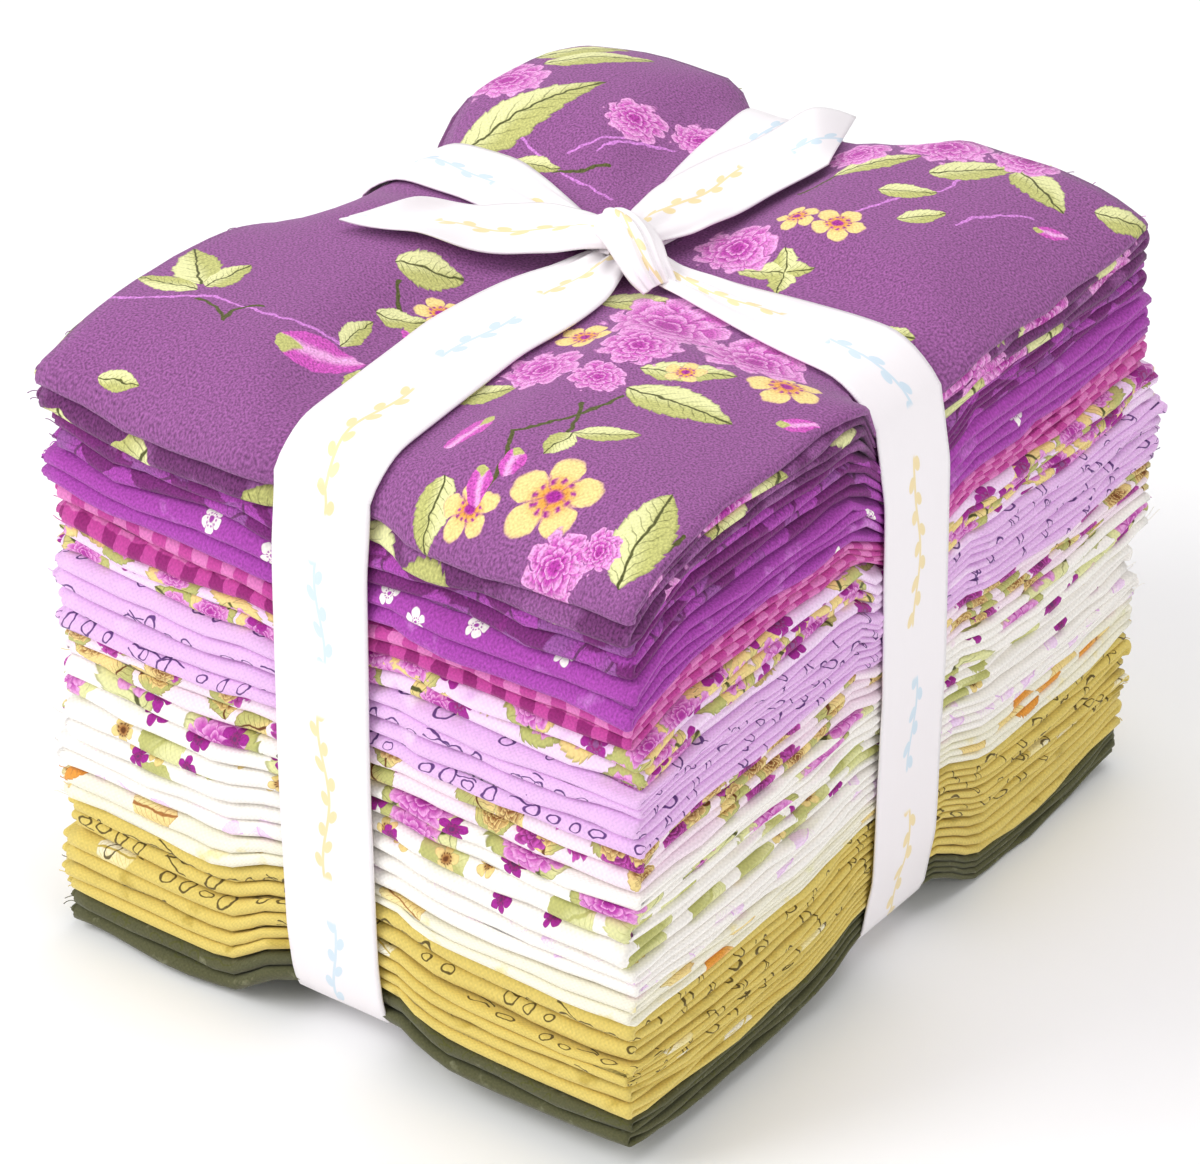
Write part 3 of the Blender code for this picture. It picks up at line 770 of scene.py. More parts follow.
# %% Uneven plies, then the height in the stack
# Sine waves of the rise itself move plies together and apart and never change their order
for waves, offset in ((1, 61.0), (2, 71.0)):
    strength = wobble(tree, folded_x / (2 * WANDER_LENGTH), folded_y / (2 * WANDER_LENGTH), seed + offset)
    wave = (rise * (math.tau * waves)).sin() / (math.tau * waves)
    rise = rise + wave * strength * given["Unevenness"]
room_heights = read_room("heights", folded_x, folded_y)
room = room_heights.x - room_heights.y - given["Play"] * 2.0
folded_z = room_heights.y + given["Play"] + room * rise
print("nodes so far:", len(tree.nodes))

# %% The cut cloth's own coordinates
# A turn takes as much print as the outermost ply, the one that shows, needs to go round
MEAN_PITCH = FULL_THICKNESS / len(CLOTHS) / PLIES
TURN_SHARE_X = math.pi * OUTER_X * MEAN_PITCH / WIDTH
TURN_SHARE_Y = math.pi * OUTER_Y * MEAN_PITCH / DEPTH
FLAT_PLIES = PLIES_ACROSS + (PLIES_ACROSS - 1) * TURN_SHARE_X
FLAT_STRIPS = STRIPS_ALONG + (STRIPS_ALONG - 1) * TURN_SHARE_Y
on_ply = (share_x - 0.5) * toward_x + 0.5
on_strip = (0.5 - share_y) * toward_y + 0.5
flat_u = ply + on_ply + (ply + turn_x) * TURN_SHARE_X
flat_v = strip + on_strip + (strip + turn_y) * TURN_SHARE_Y
flat_place = pack(tree, flat_u / FLAT_PLIES, flat_v / FLAT_STRIPS)
printed = add_node(
    tree,
    "GeometryNodeStoreNamedAttribute",
    grid,
    True,
    "flat",
    flat_place,
    data_type="FLOAT2",
    domain="CORNER",
)
moved = add_node(
    tree, "GeometryNodeSetPosition", printed, True, pack(tree, folded_x, folded_y, folded_z)
)
smooth = add_node(tree, "GeometryNodeSetShadeSmooth", moved)
solid = add_node(tree, "GeometryNodeRealizeInstances", smooth)
finished = add_node(tree, "GeometryNodeSetMaterial", solid, named={"Material": given["Cloth finish"]})
feed(tree, cloth_out.inputs[0], finished)
print("nodes in the folded cloth:", len(tree.nodes))

# %% [markdown]
# ## Loose threads at the cut edges
#
# A fat quarter is cut and not hemmed, so its edges fray: here and there a thread has worked free and curls
# out. They show on the two sides where the cut edges end up, between the round folds. A second tree finds
# the edges that belong to one face only, keeps a random share of them, and grows a thread out of each, away
# from the cloth. None grows where the ribbon presses on the edges. A thread takes the print's own place from
# the edge, so it has the colour that is there.

# %% Loose threads
THREAD_POINTS, THREAD_SIDES = 5, 3
AT_THE_SIDE = 0.8  # an edge past this share of the half size belongs to that side
CURL_SCALE = 240.0
DROOP = (0.0, 0.0, -0.25)
fray_inputs = {
    "Cloth": ("Object", None),
    "Share": ("Float", 0.09),
    "Shortest": ("Float", 0.6 * MM),
    "Longest": ("Float", 3.0 * MM),
    "Left band": ("Float", 0.0),
    "Back band": ("Float", 0.0),
    "Held half": ("Float", 12.0 * MM),
    "Thickness": ("Float", 0.17 * MM),
    "Bend": ("Float", 1.5 * MM),
    "Seed": ("Int", 0),
    "Thread finish": ("Material", None),
}
fray_tree, given, fray_out = open_tree(
    "frayed edge", "GeometryNodeTree", fray_inputs, {"Geometry": ("Geometry", None)}
)
tree = fray_tree
print("inputs of the frayed edge:", len(given))


def keep(tree, geometry, name, value, domain, kind="FLOAT_VECTOR"):
    """Stores a field on the geometry under a name."""
    kinds = {"data_type": kind, "domain": domain}
    return add_node(tree, "GeometryNodeStoreNamedAttribute", geometry, True, name, value, **kinds)


def kept(tree, name):
    """A vector that was stored before."""
    return add_node(tree, "GeometryNodeInputNamedAttribute", name, data_type="FLOAT_VECTOR")


def chance(tree, seed):
    """A random number from 0 to 1 for each point."""
    return add_node(tree, "FunctionNodeRandomValue", output=1, named={"Seed": seed}, data_type="FLOAT")


cloth = add_node(tree, "GeometryNodeObjectInfo", given["Cloth"], output="Geometry")
place = add_node(tree, "GeometryNodeInputPosition")
face_middle = add_node(tree, "GeometryNodeFieldOnDomain", data_type="FLOAT_VECTOR", domain="FACE")
feed(tree, face_middle.socket.node.inputs[0], place)
marked = keep(tree, cloth, "away", place - face_middle, "EDGE")
marked = keep(tree, marked, "print_place", kept(tree, "flat"), "EDGE")
one_face = add_node(tree, "GeometryNodeInputMeshEdgeNeighbors").below(1.5)
at_left = place.x.below(-HALF_X * AT_THE_SIDE)
at_back = place.y.above(HALF_Y * AT_THE_SIDE)
pressed_left = abs(place.y - given["Left band"]).below(given["Held half"]) * at_left
pressed_back = abs(place.x - given["Back band"]).below(given["Held half"]) * at_back
free = 1.0 - pressed_left.most(pressed_back)
picked = one_face * chance(tree, given["Seed"]).below(given["Share"]) * free
roots = add_node(tree, "GeometryNodeMeshToPoints", marked, picked, mode="EDGES")

# %% Grow a thread from each root
line = add_node(tree, "GeometryNodeCurvePrimitiveLine", (0.0, 0.0, 0.0), (0.0, 0.0, 1.0))
line = add_node(tree, "GeometryNodeResampleCurve", line, named={"Count": THREAD_POINTS + 1})
turn = add_node(tree, "FunctionNodeAlignRotationToVector", named={"Vector": kept(tree, "away")}, axis="Z")
length = given["Shortest"].blend(given["Longest"], chance(tree, 3).power(2.0))
stretch = {"Rotation": turn, "Scale": pack(tree, 1.0, 1.0, length)}
grown = add_node(tree, "GeometryNodeInstanceOnPoints", roots, True, line, named=stretch)
grown = add_node(tree, "GeometryNodeRealizeInstances", grown)
from_root = add_node(tree, "GeometryNodeSplineParameter").power(2.0)
curl = add_node(tree, "ShaderNodeTexNoise", named={"Scale": CURL_SCALE, "Detail": 0.0}, output="Color") - 0.5
curl = (curl * 2.0 + DROOP) * (from_root * given["Bend"])
bent = add_node(tree, "GeometryNodeSetPosition", grown, named={"Offset": curl})
round_thread = {"Resolution": THREAD_SIDES, "Radius": given["Thickness"] * 0.5}
profile = add_node(tree, "GeometryNodeCurvePrimitiveCircle", named=round_thread)
tube = add_node(tree, "GeometryNodeCurveToMesh", bent, profile, named={"Fill Caps": True})
tube = keep(tree, tube, "flat", kept(tree, "print_place"), "CORNER", "FLOAT2")
tube = add_node(tree, "GeometryNodeRealizeInstances", tube)
tube = add_node(tree, "GeometryNodeSetMaterial", tube, named={"Material": given["Thread finish"]})
feed(tree, fray_out.inputs[0], tube)
print("nodes in the frayed edge:", len(tree.nodes))

# %% [markdown]
# ## All sixteen
#
# The same tree runs once for each cloth, with that cloth's guide, seed and finish. The top cloth shows most,
# so its grid is finer. Each result gets its thickness and is moved from the middle of the folded cloths to
# its place in the frame.

# %% Fold the sixteen cloths
FINE_STEPS = {"Steps across": 32, "Steps along": 38}
BAND_PLACES = {"Left band": BANDS["left"] * MM, "Back band": BANDS["back"] * MM}


def place_in_frame(piece):
    """Moves a piece's mesh from the middle of the folded cloths to its place in the frame."""
    piece.data.transform(Matrix.Translation((MIDDLE[0] * MM, MIDDLE[1] * MM, 0)))


cloths = {}
threads = {}
finishes = {}
for number, (node, *_) in enumerate(CLOTHS):
    finish = bpy.data.materials.new(node)
    finish.use_nodes = True
    steps = FINE_STEPS if number == 0 else {}
    settings = {"Room": rooms[number], "Seed": 10.0 * number, "Cloth finish": finish, **steps}
    piece = run_tree(cloth_tree, node.replace("cloth", "sheet"), **settings)
    frays = {"Cloth": piece, "Seed": number, "Thread finish": finish, **BAND_PLACES}
    fringe = run_tree(fray_tree, f"threads_{number + 1:02d}", **frays)
    thicken(piece, SHEET_THICKNESS)
    place_in_frame(piece)
    place_in_frame(fringe)
    cloths[node] = piece
    threads[node] = fringe
    finishes[node] = finish
    if number in (0, 1):
        print(piece.name, "has", len(piece.data.polygons), "faces, its threads", len(fringe.data.polygons))
for room in rooms:
    bpy.data.objects.remove(room)

# %% [markdown]
# ## The ribbon's bed
#
# One satin ribbon, 3/4 in wide, goes round the stack both ways and is tied on top. It lies flat on the
# sides and underneath, and on top it gathers to less than half its width where it goes into the knot.
#
# A strip like this could be swept along a curve, but a swept strip knows nothing of what it lies on. Here
# each band gets a bed, a guide mesh that follows the cloth's own height under the ribbon, rounded off where
# it bends over an edge. The strip is then laid on its bed, as wide as the gather leaves it.

# %% Beds for the two bands
RIBBON_THICKNESS = 0.32
RIBBON_GAP = 0.45  # from the cloth to the ribbon's underside
KNOT_X, KNOT_Y = -1.0, 7.0
LONG_WIDTH = ((-72, 1), (-8, 1), (3, 0.4), (12, 0.4), (40, 0.85), (72, 0.85))
SHORT_WIDTH = ((-57, 0.8), (-35, 0.95), (-10, 0.4), (8, 0.35), (38, 0.95), (57, 1))
KNOT_LIFT = {"long": 1.6, "short": 2.6}
KNOT_LIFT_LENGTH = 9.0
BED_STEP = 1.2
BED_ACROSS = 9
BEND_PASSES = 4
GATHER_PASSES = 50
CORNER_INSET = 1.2
CORNER_LIFT = 0.7  # how far the ribbon stands off the folds where it bends over a side
CORNER_LENGTH = 3.0
WALL_TOP, WALL_FOOT = 0.97, 0.03  # shares of the height between which the ribbon runs straight down


def smoothed(values, passes):
    """Rounds a row of stations off and keeps its two ends."""
    for _ in range(passes):
        padded = np.concatenate([values[:1], values, values[-1:]])
        inner = (padded[:-2] + 2 * values + padded[2:]) / 4
        values = np.concatenate([values[:1], inner[1:-1], values[-1:]])
    return values


def outward(places, centre=(0.0, 0.0, HEIGHT / 2)):
    """Unit normals of a grid of places, pointing away from a centre."""
    normals = np.cross(np.gradient(places, axis=0), np.gradient(places, axis=1))
    normals /= np.linalg.norm(normals, axis=-1, keepdims=True)
    away = np.sum(normals * (places - np.array(centre)), axis=-1, keepdims=True)
    return normals * np.where(np.sum(away) < 0, -1.0, 1.0)


def band_stations(low_side, high_side, half, start):
    """Run, height share and width share round the stack: from the knot over one side, under, and back up."""
    high = half + held_limit(high_side, 0.5)
    low = half + held_limit(low_side, 0.5)
    shares = np.linspace(WALL_TOP, WALL_FOOT, int(HEIGHT / BED_STEP))
    over = np.arange(start, half - CORNER_INSET, BED_STEP)
    under = np.arange(half - CORNER_INSET, -half + CORNER_INSET, -BED_STEP)
    back = np.arange(-half + CORNER_INSET, start, BED_STEP)
    wall_high = half + held_limit(high_side, shares)
    wall_low = -half - held_limit(low_side, shares[::-1])
    run = np.concatenate([over, wall_high, under, wall_low, back])
    share = np.concatenate(
        [np.ones(len(over)), shares, np.zeros(len(under)), shares[::-1], np.ones(len(back))]
    )
    return run, share


def band_bed(name, along_y):
    """The bed of one band, with its width share and its length along."""
    sides = ("front", "back") if along_y else ("left", "right")
    half = (DEPTH if along_y else WIDTH) / 2
    line = long_way_x if along_y else short_way_y
    knot = KNOT_Y if along_y else KNOT_X
    run, share = band_stations(*sides, half, knot)
    inside = np.clip(run, -half, half)
    across = np.linspace(-0.5, 0.5, BED_ACROSS) * RIBBON_WIDTH
    beside = line(inside)[:, None] + across[None, :]
    runs = np.broadcast_to(run[:, None], beside.shape)
    x, y = (beside, runs) if along_y else (runs, beside)
    plan = (x, np.clip(y, -half, half)) if along_y else (np.clip(x, -half, half), y)
    top, bottom = top_height(*plan), bottom_height(*plan)
    z = bottom + (top - bottom) * share[:, None]
    places = smoothed(vectors(x, y, z), BEND_PASSES)
    normals = outward(places)
    rise = KNOT_LIFT["long" if along_y else "short"] * np.exp(-(((run - knot) / KNOT_LIFT_LENGTH) ** 2))
    edge = np.minimum(np.abs(share - 1), np.abs(share)) * HEIGHT + np.abs(np.abs(run) - half)
    stand_off = CORNER_LIFT * np.exp(-((edge / CORNER_LENGTH) ** 2))
    lift = RIBBON_GAP + RIBBON_THICKNESS / 2 + rise * (share == 1) + stand_off
    places = places + normals * lift[:, None, None]
    steps = np.linalg.norm(np.diff(places[:, BED_ACROSS // 2], axis=0), axis=-1)
    distance = np.concatenate([[0], np.cumsum(steps)])
    on_top = read_stops(LONG_WIDTH if along_y else SHORT_WIDTH, inside)
    width = smoothed(np.where(share == 1, on_top, 1.0), GATHER_PASSES)
    return bed_mesh(name, places, normals, width, 1 - width, distance)


def bed_mesh(name, places, normals, width, gather, distance):
    """A guide mesh from a bed's places in mm; u runs along it and v across."""
    rows, columns = places.shape[:2]
    uv = np.stack(np.meshgrid(np.linspace(0, 1, rows), np.linspace(0, 1, columns), indexing="ij"), axis=-1)
    shape = np.repeat(vectors(width, distance / RIBBON_WIDTH, gather)[:, None], columns, axis=1)
    print(name, "is", round(float(distance[-1])), "mm long")
    bed = guide_mesh(name, places * MM, uv, out=normals, shape=shape)
    bed["length"] = float(distance[-1]) * MM
    spread = np.linalg.norm(places[:, -1] - places[:, 0], axis=-1) / (1 - gather) * width
    bed["area"] = float(np.sum(np.diff(distance) * (spread[1:] + spread[:-1]) / 2)) * MM * MM
    return bed


long_bed = band_bed("long_bed", True)
short_bed = band_bed("short_bed", False)

# %% [markdown]
# ## Knot and free ends
#
# The free ends and the wrap of the knot lie in the air or on one another, so their beds are given station
# by station: at each station the place of the two edges, their height above the top cloth, and how much the
# middle bulges. A smooth curve goes through the stations.

# %% Beds for the knot and the free ends
FREE_ENDS = {
    # x, y and height above the cloth of the front edge, the same of the back edge, bulge, width share
    "tail_left": (
        (-0.5, 4.5, 4.2, -1.5, 9.5, 4.6, 1.2, 0.35),
        (-6.0, 1.4, 3.8, -7.0, 10.2, 5.4, 0.8, 0.5),
        (-12.5, -5.2, 3.2, -14.0, 9.8, 5.2, 0.0, 0.8),
        (-20.0, -12.0, 2.6, -21.5, 6.4, 4.4, -0.8, 1.0),
        (-28.6, -16.2, 2.0, -28.0, 1.6, 3.6, -1.0, 1.0),
        (-35.0, -18.0, 1.6, -31.8, -4.4, 3.0, -0.8, 1.0),
        (-39.2, -18.6, 1.5, -38.2, -17.0, 1.8, 0.0, 1.0),
    ),
    "tail_back": (
        (1.5, 7.5, 4.2, -3.5, 8.5, 4.6, 1.2, 0.35),
        (5.0, 16.0, 3.6, -7.0, 17.5, 3.8, 1.0, 0.5),
        (6.6, 27.0, 2.2, -8.8, 29.5, 2.8, 0.9, 0.8),
        (7.6, 37.0, 1.8, -8.2, 42.0, 2.2, 0.8, 1.0),
        (9.4, 43.5, 1.6, -6.0, 56.0, 2.0, 0.6, 1.0),
        (10.8, 47.6, 1.6, -0.8, 73.5, 7.5, 0.0, 1.0),
    ),
    "knot": (
        (-10.8, 9.6, 1.0, -9.0, 16.6, 1.0, 0.6, 0.5),
        (-8.4, 7.0, 4.2, -6.0, 14.4, 4.2, 2.0, 0.5),
        (-4.2, 4.0, 5.2, -0.6, 11.8, 5.2, 3.0, 0.5),
        (0.8, 1.0, 4.6, 4.6, 8.6, 4.8, 2.8, 0.5),
        (5.4, -0.6, 2.2, 8.4, 6.2, 2.8, 2.0, 0.5),
        (8.2, -0.6, 0.6, 10.4, 5.4, 0.8, 0.8, 0.5),
    ),
}
STATIONS_PER_SPAN = 12


def through_stations(rows):
    """A smooth curve (Catmull-Rom) through rows of numbers."""
    rows = np.array(rows)
    padded = np.concatenate([2 * rows[:1] - rows[1:2], rows, 2 * rows[-1:] - rows[-2:-1]])
    t = np.linspace(0, 1, STATIONS_PER_SPAN, endpoint=False)[:, None]
    spans = []
    for a, b, c, d in zip(padded, padded[1:], padded[2:], padded[3:]):
        cubic = 2 * b + (c - a) * t + (2 * a - 5 * b + 4 * c - d) * t**2
        spans.append((cubic + (3 * b - a - 3 * c + d) * t**3) / 2)
    return np.concatenate(spans + [rows[-1:]])


def free_bed(name, rows):
    """The bed of a free end from its two edges."""
    rows = through_stations(rows)
    front_edge = vectors(rows[:, 0], rows[:, 1], top_height(rows[:, 0], rows[:, 1]) + rows[:, 2])
    back_edge = vectors(rows[:, 3], rows[:, 4], top_height(rows[:, 3], rows[:, 4]) + rows[:, 5])
    t = np.linspace(0, 1, BED_ACROSS)[None, :, None]
    places = front_edge[:, None] * (1 - t) + back_edge[:, None] * t
    places[..., 2] += (4 * t * (1 - t) * rows[:, None, 6:7])[..., 0]
    normals = outward(places)
    steps = np.linalg.norm(np.diff(places[:, BED_ACROSS // 2], axis=0), axis=-1)
    distance = np.concatenate([[0], np.cumsum(steps)])
    return bed_mesh(name + "_bed", places, normals, np.ones(len(rows)), 1 - rows[:, 7], distance)


free_beds = {name: free_bed(name, rows) for name, rows in FREE_ENDS.items()}

# %% [markdown]
# ## The strip on its bed
#
# One tree lays every stretch of ribbon. A grid runs along and across the bed. Where the ribbon is gathered,
# the grid keeps to the middle share of the bed and rises and dips in pleats, which fade out as the ribbon
# spreads. The pleats mix an even wave with noise, because fingers don't gather evenly.

# %% Ribbon tree
BED_END = 0.0005  # the strip stays this far inside the two ends of its bed
BED_RIM = 0.002  # and this far inside its two sides
EVEN_PLEATS, LOOSE_PLEATS = 0.5, 0.6
RIPPLE = 0.1 * MM  # a faint wave all along, where nothing is gathered

strip_inputs = {
    "Bed": ("Object", None),
    "Steps along": ("Int", 300),
    "Steps across": ("Int", 18),
    "Pleats": ("Float", 3.0),
    "Pleat depth": ("Float", 1.3 * MM),
    "Seed": ("Float", 0.0),
    "Ribbon finish": ("Material", None),
}
strip_tree, given, strip_out = open_tree(
    "ribbon strip", "GeometryNodeTree", strip_inputs, {"Geometry": ("Geometry", None)}
)
tree = strip_tree
grid = add_node(
    tree, "GeometryNodeMeshGrid", 1.0, 1.0, given["Steps along"] + 1, given["Steps across"] + 1
)
start = add_node(tree, "GeometryNodeInputPosition")
along = (start.x + 0.5).most(BED_END).least(1.0 - BED_END)
side = start.y * 2.0
shape = read_guide(tree, given["Bed"], "shape", along, 0.5)
spread = side * (0.5 - BED_RIM) * shape.x + 0.5
on_bed = read_guide(tree, given["Bed"], "position", along, spread)
out = read_guide(tree, given["Bed"], "out", along, spread)
drift = wobble(tree, shape.y * 0.8, given["Seed"], 5.0)
even_pleat = ((side * given["Pleats"] + drift) * math.pi).cos()
loose_pleat = wobble(tree, side * given["Pleats"] * 0.8, shape.y * 0.7, given["Seed"])
pleat = (even_pleat * EVEN_PLEATS + loose_pleat * LOOSE_PLEATS) * shape.z * given["Pleat depth"]
ripple = wobble(tree, shape.y * 0.9, side * 0.5, given["Seed"] + 9.0) * RIPPLE
laid = on_bed + out * (pleat + ripple)
printed = add_node(
    tree,
    "GeometryNodeStoreNamedAttribute",
    grid,
    True,
    "flat",
    pack(tree, side * 0.5 + 0.5, shape.y),
    data_type="FLOAT2",
    domain="CORNER",
)
moved = add_node(tree, "GeometryNodeSetPosition", printed, True, laid)
smooth = add_node(tree, "GeometryNodeSetShadeSmooth", moved)
solid = add_node(tree, "GeometryNodeRealizeInstances", smooth)
finished = add_node(tree, "GeometryNodeSetMaterial", solid, named={"Material": given["Ribbon finish"]})
feed(tree, strip_out.inputs[0], finished)
print("nodes in the ribbon strip:", len(tree.nodes))

# %% Lay the five stretches of ribbon
ribbon_finish = bpy.data.materials.new("ribbon_satin")
ribbon_finish.use_nodes = True
STRETCHES = {
    # piece: bed, steps along, steps across, pleats
    "ribbon_long_way": (long_bed, 300, 18, 3.0),
    "ribbon_short_way": (short_bed, 280, 18, 3.0),
    "ribbon_tail_left": (free_beds["tail_left"], 70, 28, 3.0),
    "ribbon_tail_back": (free_beds["tail_back"], 70, 28, 3.0),
    "ribbon_knot": (free_beds["knot"], 80, 36, 4.6),
}
ribbons = {}
for seed, (name, (bed, steps, steps_across, pleats)) in enumerate(STRETCHES.items()):
    settings = {"Bed": bed, "Steps along": steps, "Steps across": steps_across, "Pleats": pleats}
    piece = run_tree(strip_tree, name, **settings, **{"Seed": 7.0 * seed, "Ribbon finish": ribbon_finish})
    thicken(piece, RIBBON_THICKNESS * MM)
    place_in_frame(piece)
    ribbons[name] = (piece, max(bed["length"], bed["area"] / RIBBON_WIDTH / MM), bed["area"])
    bpy.data.objects.remove(bed)
    print(name, "has", len(piece.data.polygons), "faces")

# %% [markdown]
# ## Dyes and the weave
#
# Quilting cotton is a plain weave of about sixty threads an inch. From a step away single threads hardly
# show, but they break every flat colour up into a fine grain, with a thicker thread here and there.
# An image of cloth would show that too and would repeat. Here a shader group makes it from the cut cloth's
# own coordinates in millimetres, so the grain runs with the cloth round each fold, and all sixteen cloths
# share the one group. The grain shows most on the dark dyes and hardly on the light motifs.

# %% Dyes
def dye(code):
    """A linear colour from the six digits that a paint program shows."""
    shares = [int(code[n : n + 2], 16) / 255 for n in (0, 2, 4)]
    return tuple(
        share / 12.92 if share <= 0.04045 else ((share + 0.055) / 1.055) ** 2.4 for share in shares
    )


DYES = {
    "plum": "8e538d", "plum shade": "6b3268", "purple": "762771", "purple light": "96529c",
    "orchid": "a845aa", "orchid light": "cc7fd0", "white": "f8f4ee", "cream": "f2eedb",
    "blush": "f6e4ee", "pale yellow": "f0e2a4", "butter": "efd68e", "orange": "e59a3c",
    "rust": "a8713a", "brown": "6a3d1c", "leaf": "e2e2a6", "leaf shade": "bdbd74",
    "olive": "55562c", "magenta": "a22692", "pink": "c954b6", "pale pink": "eaa8de",
    "gingham light": "dd7cbc", "gingham middle": "c2479a", "gingham dark": "932471",
    "lilac": "e6bcea", "lilac light": "f3d8f4", "ink": "48156a", "golden": "dcc66c",
    "golden shade": "c2aa50", "brown ink": "4a3a18", "dark olive": "57573a", "grey olive": "77775a",
    "ribbon": "f7f2f5", "yellow": "f0d04c", "pale blue": "b4d8ec",
}
DYES = {name: dye(code) for name, code in DYES.items()}
print(len(DYES), "dyes")


# %% Shader groups and noise
def use(tree, group, **given):
    """Places a shader group in a tree, feeds its inputs by name, and returns its outputs by name."""
    node = tree.nodes.new("ShaderNodeGroup")
    node.node_tree = group
    for name, value in given.items():
        feed(tree, node.inputs[name], value)
    return {socket.name: Field(tree, socket) for socket in node.outputs}


def shader_group(name, inputs, outputs):
    """An empty shader group; inputs and outputs are {name: kind}."""
    return open_tree(
        name,
        "ShaderNodeTree",
        {socket: (kind, None) for socket, kind in inputs.items()},
        {socket: (kind, None) for socket, kind in outputs.items()},
    )


def noise(tree, place, scale=1.0, detail=1.0):
    """Smooth flat noise between about -1 and 1."""
    named = {"Scale": scale, "Detail": detail}
    return add_node(tree, "ShaderNodeTexNoise", place, named=named, noise_dimensions="2D") * 2.0 - 1.0


print("shader helpers:", use.__name__, shader_group.__name__, noise.__name__)


# %% The weave
THREAD = 0.45  # mm from one thread to the next
GRAIN_SCALE, GRAIN_DETAIL = 2.6, 2.0
SLUB_ACROSS, SLUB_ALONG = 2.2, 0.14  # noise steps a mm, across and along a thicker thread
SLUB_SHADE, THREAD_SHADE = 0.05, 0.06
weave, given, out = shader_group(
    "woven cotton",
    {"Place": "Vector", "Print": "Color", "Speckle": "Float"},
    {"Colour": "Color", "Roughness": "Float", "Height": "Float"},
)
tree = weave
place = given["Place"]
thread = place * (math.pi / THREAD)
over_under = thread.x.cos() * thread.y.cos()
grain = noise(tree, place, GRAIN_SCALE, GRAIN_DETAIL)
slub = noise(tree, pack(tree, place.x * SLUB_ACROSS, place.y * SLUB_ALONG))
slub = slub + noise(tree, pack(tree, place.x * SLUB_ALONG, place.y * SLUB_ACROSS))
darkness = 1.0 - given["Print"].y  # the green of a colour is the part that makes it light
shade = grain * given["Speckle"] * darkness + slub * SLUB_SHADE + over_under * THREAD_SHADE + 1.0
feed(tree, out.inputs["Colour"], given["Print"].scaled(shade))
feed(tree, out.inputs["Roughness"], grain * -0.1 + 0.82)
feed(tree, out.inputs["Height"], over_under * 0.3 + grain * 0.18)
print("nodes in the weave:", len(tree.nodes))

# %% [markdown]
# ## Drawing flowers with sums
#
# The prints are ordinary garden flowers and leaves. Each motif is a shader group that draws itself in a
# square from -1 to 1: it is given a place in that square and puts out a colour and a mask. The outline is
# a sum too, such as a leaf's half width at each point of its length, so it stays sharp at any size, which
# an image doesn't. What is drawn here once is placed, turned and coloured again for each cloth.

# %% Leaf
MOTIF = {"Local": "Vector", "Light": "Color", "Middle": "Color", "Dark": "Color"}
DRAWN = {"Colour": "Color", "Mask": "Float"}

leaf, given, out = shader_group("leaf", MOTIF, DRAWN)
tree = leaf
x, y = given["Local"].x, given["Local"].y
notch = (x * 4.5 + abs(y) * -0.8).fract()
half_width = (1.0 - x * x).most(0.0).power(0.8) * (1.04 - x * 0.26) * (notch * 0.1 + 0.92)
inside = half_width - abs(y)
vein = (x * 4.5 - abs(y) * 2.2).fract()
lines = vein.smooth(0.8, 0.97) * abs(y).smooth(0.75, 0.3) * 0.65
lines = lines.most(abs(y - (x * 3.0).sin() * 0.04).smooth(0.075, 0.03))
rim = inside.smooth(0.14, 0.03) * 0.45
body = blend(tree, given["Light"], given["Middle"], (y * 1.6 + x * 0.5 + 0.2).smooth(-0.5, 0.9))
feed(tree, out.inputs["Colour"], blend(tree, body, given["Dark"], lines.most(rim)))
feed(tree, out.inputs["Mask"], inside.smooth(0.0, 0.05))
print("nodes in the leaf:", len(tree.nodes))


# %% Places round a centre
def around(tree, place):
    """How far a place is from the centre of its square, and its angle round it."""
    angle = add_node(tree, "ShaderNodeMath", place.y, place.x, operation="ARCTAN2")
    return place.length(), angle


# %% Blossom with many petals
PETAL_RINGS = ((9, 0.0, 1.0), (8, 0.9, 0.74), (7, 0.4, 0.5), (5, 1.3, 0.27))  # petals, turn, reach
blossom, given, out = shader_group("blossom", MOTIF, DRAWN)
tree = blossom
curl = noise(tree, given["Local"], 2.3)
far, angle = around(tree, given["Local"])
angle = angle + curl * 0.45
far = far * (curl * 0.2 + 1.05)
streak = (angle * 23.0).sin().smooth(0.3, 1.0) * 0.35
body = given["Dark"]
for petals, turn, reach in PETAL_RINGS:
    wave = abs((angle * (petals / 2) + turn).sin())
    ring = far / ((wave.power(0.5) * 0.28 + 0.72) * reach)
    inside = (1.0 - ring).smooth(0.0, 0.06)
    petal = blend(tree, given["Middle"], given["Light"], ring.smooth(0.6, 0.98))
    shade = ring.smooth(0.92, 0.4).most(wave.smooth(0.3, 0.05)).most(streak) * 0.75
    body = blend(tree, body, blend(tree, petal, given["Dark"], shade), inside)
    if reach == 1.0:
        feed(tree, out.inputs["Mask"], inside)
feed(tree, out.inputs["Colour"], body)
print("nodes in the blossom:", len(tree.nodes))

# %% Flower with five petals
flower, given, out = shader_group("five-petalled flower", MOTIF, DRAWN)
tree = flower
far, angle = around(tree, given["Local"])
petal = abs((angle * 2.5).cos())
reach = petal.power(0.5) * 0.52 + 0.46
ring = far / reach
body = blend(tree, given["Middle"], given["Light"], far.smooth(0.15, 0.62))
stamens = ((angle * 11.0).sin() * 0.5 + 0.5) * abs(far - 0.36).smooth(0.09, 0.03)
heart = far.smooth(0.22, 0.12)
gap = petal.smooth(0.3, 0.1) * 0.5
rim = (1.0 - ring).smooth(0.12, 0.02) * 0.35
lines = stamens.most(heart).most(gap).most(rim)
feed(tree, out.inputs["Colour"], blend(tree, body, given["Dark"], lines))
feed(tree, out.inputs["Mask"], (1.0 - ring).smooth(0.0, 0.06))
print("nodes in the flower:", len(tree.nodes))

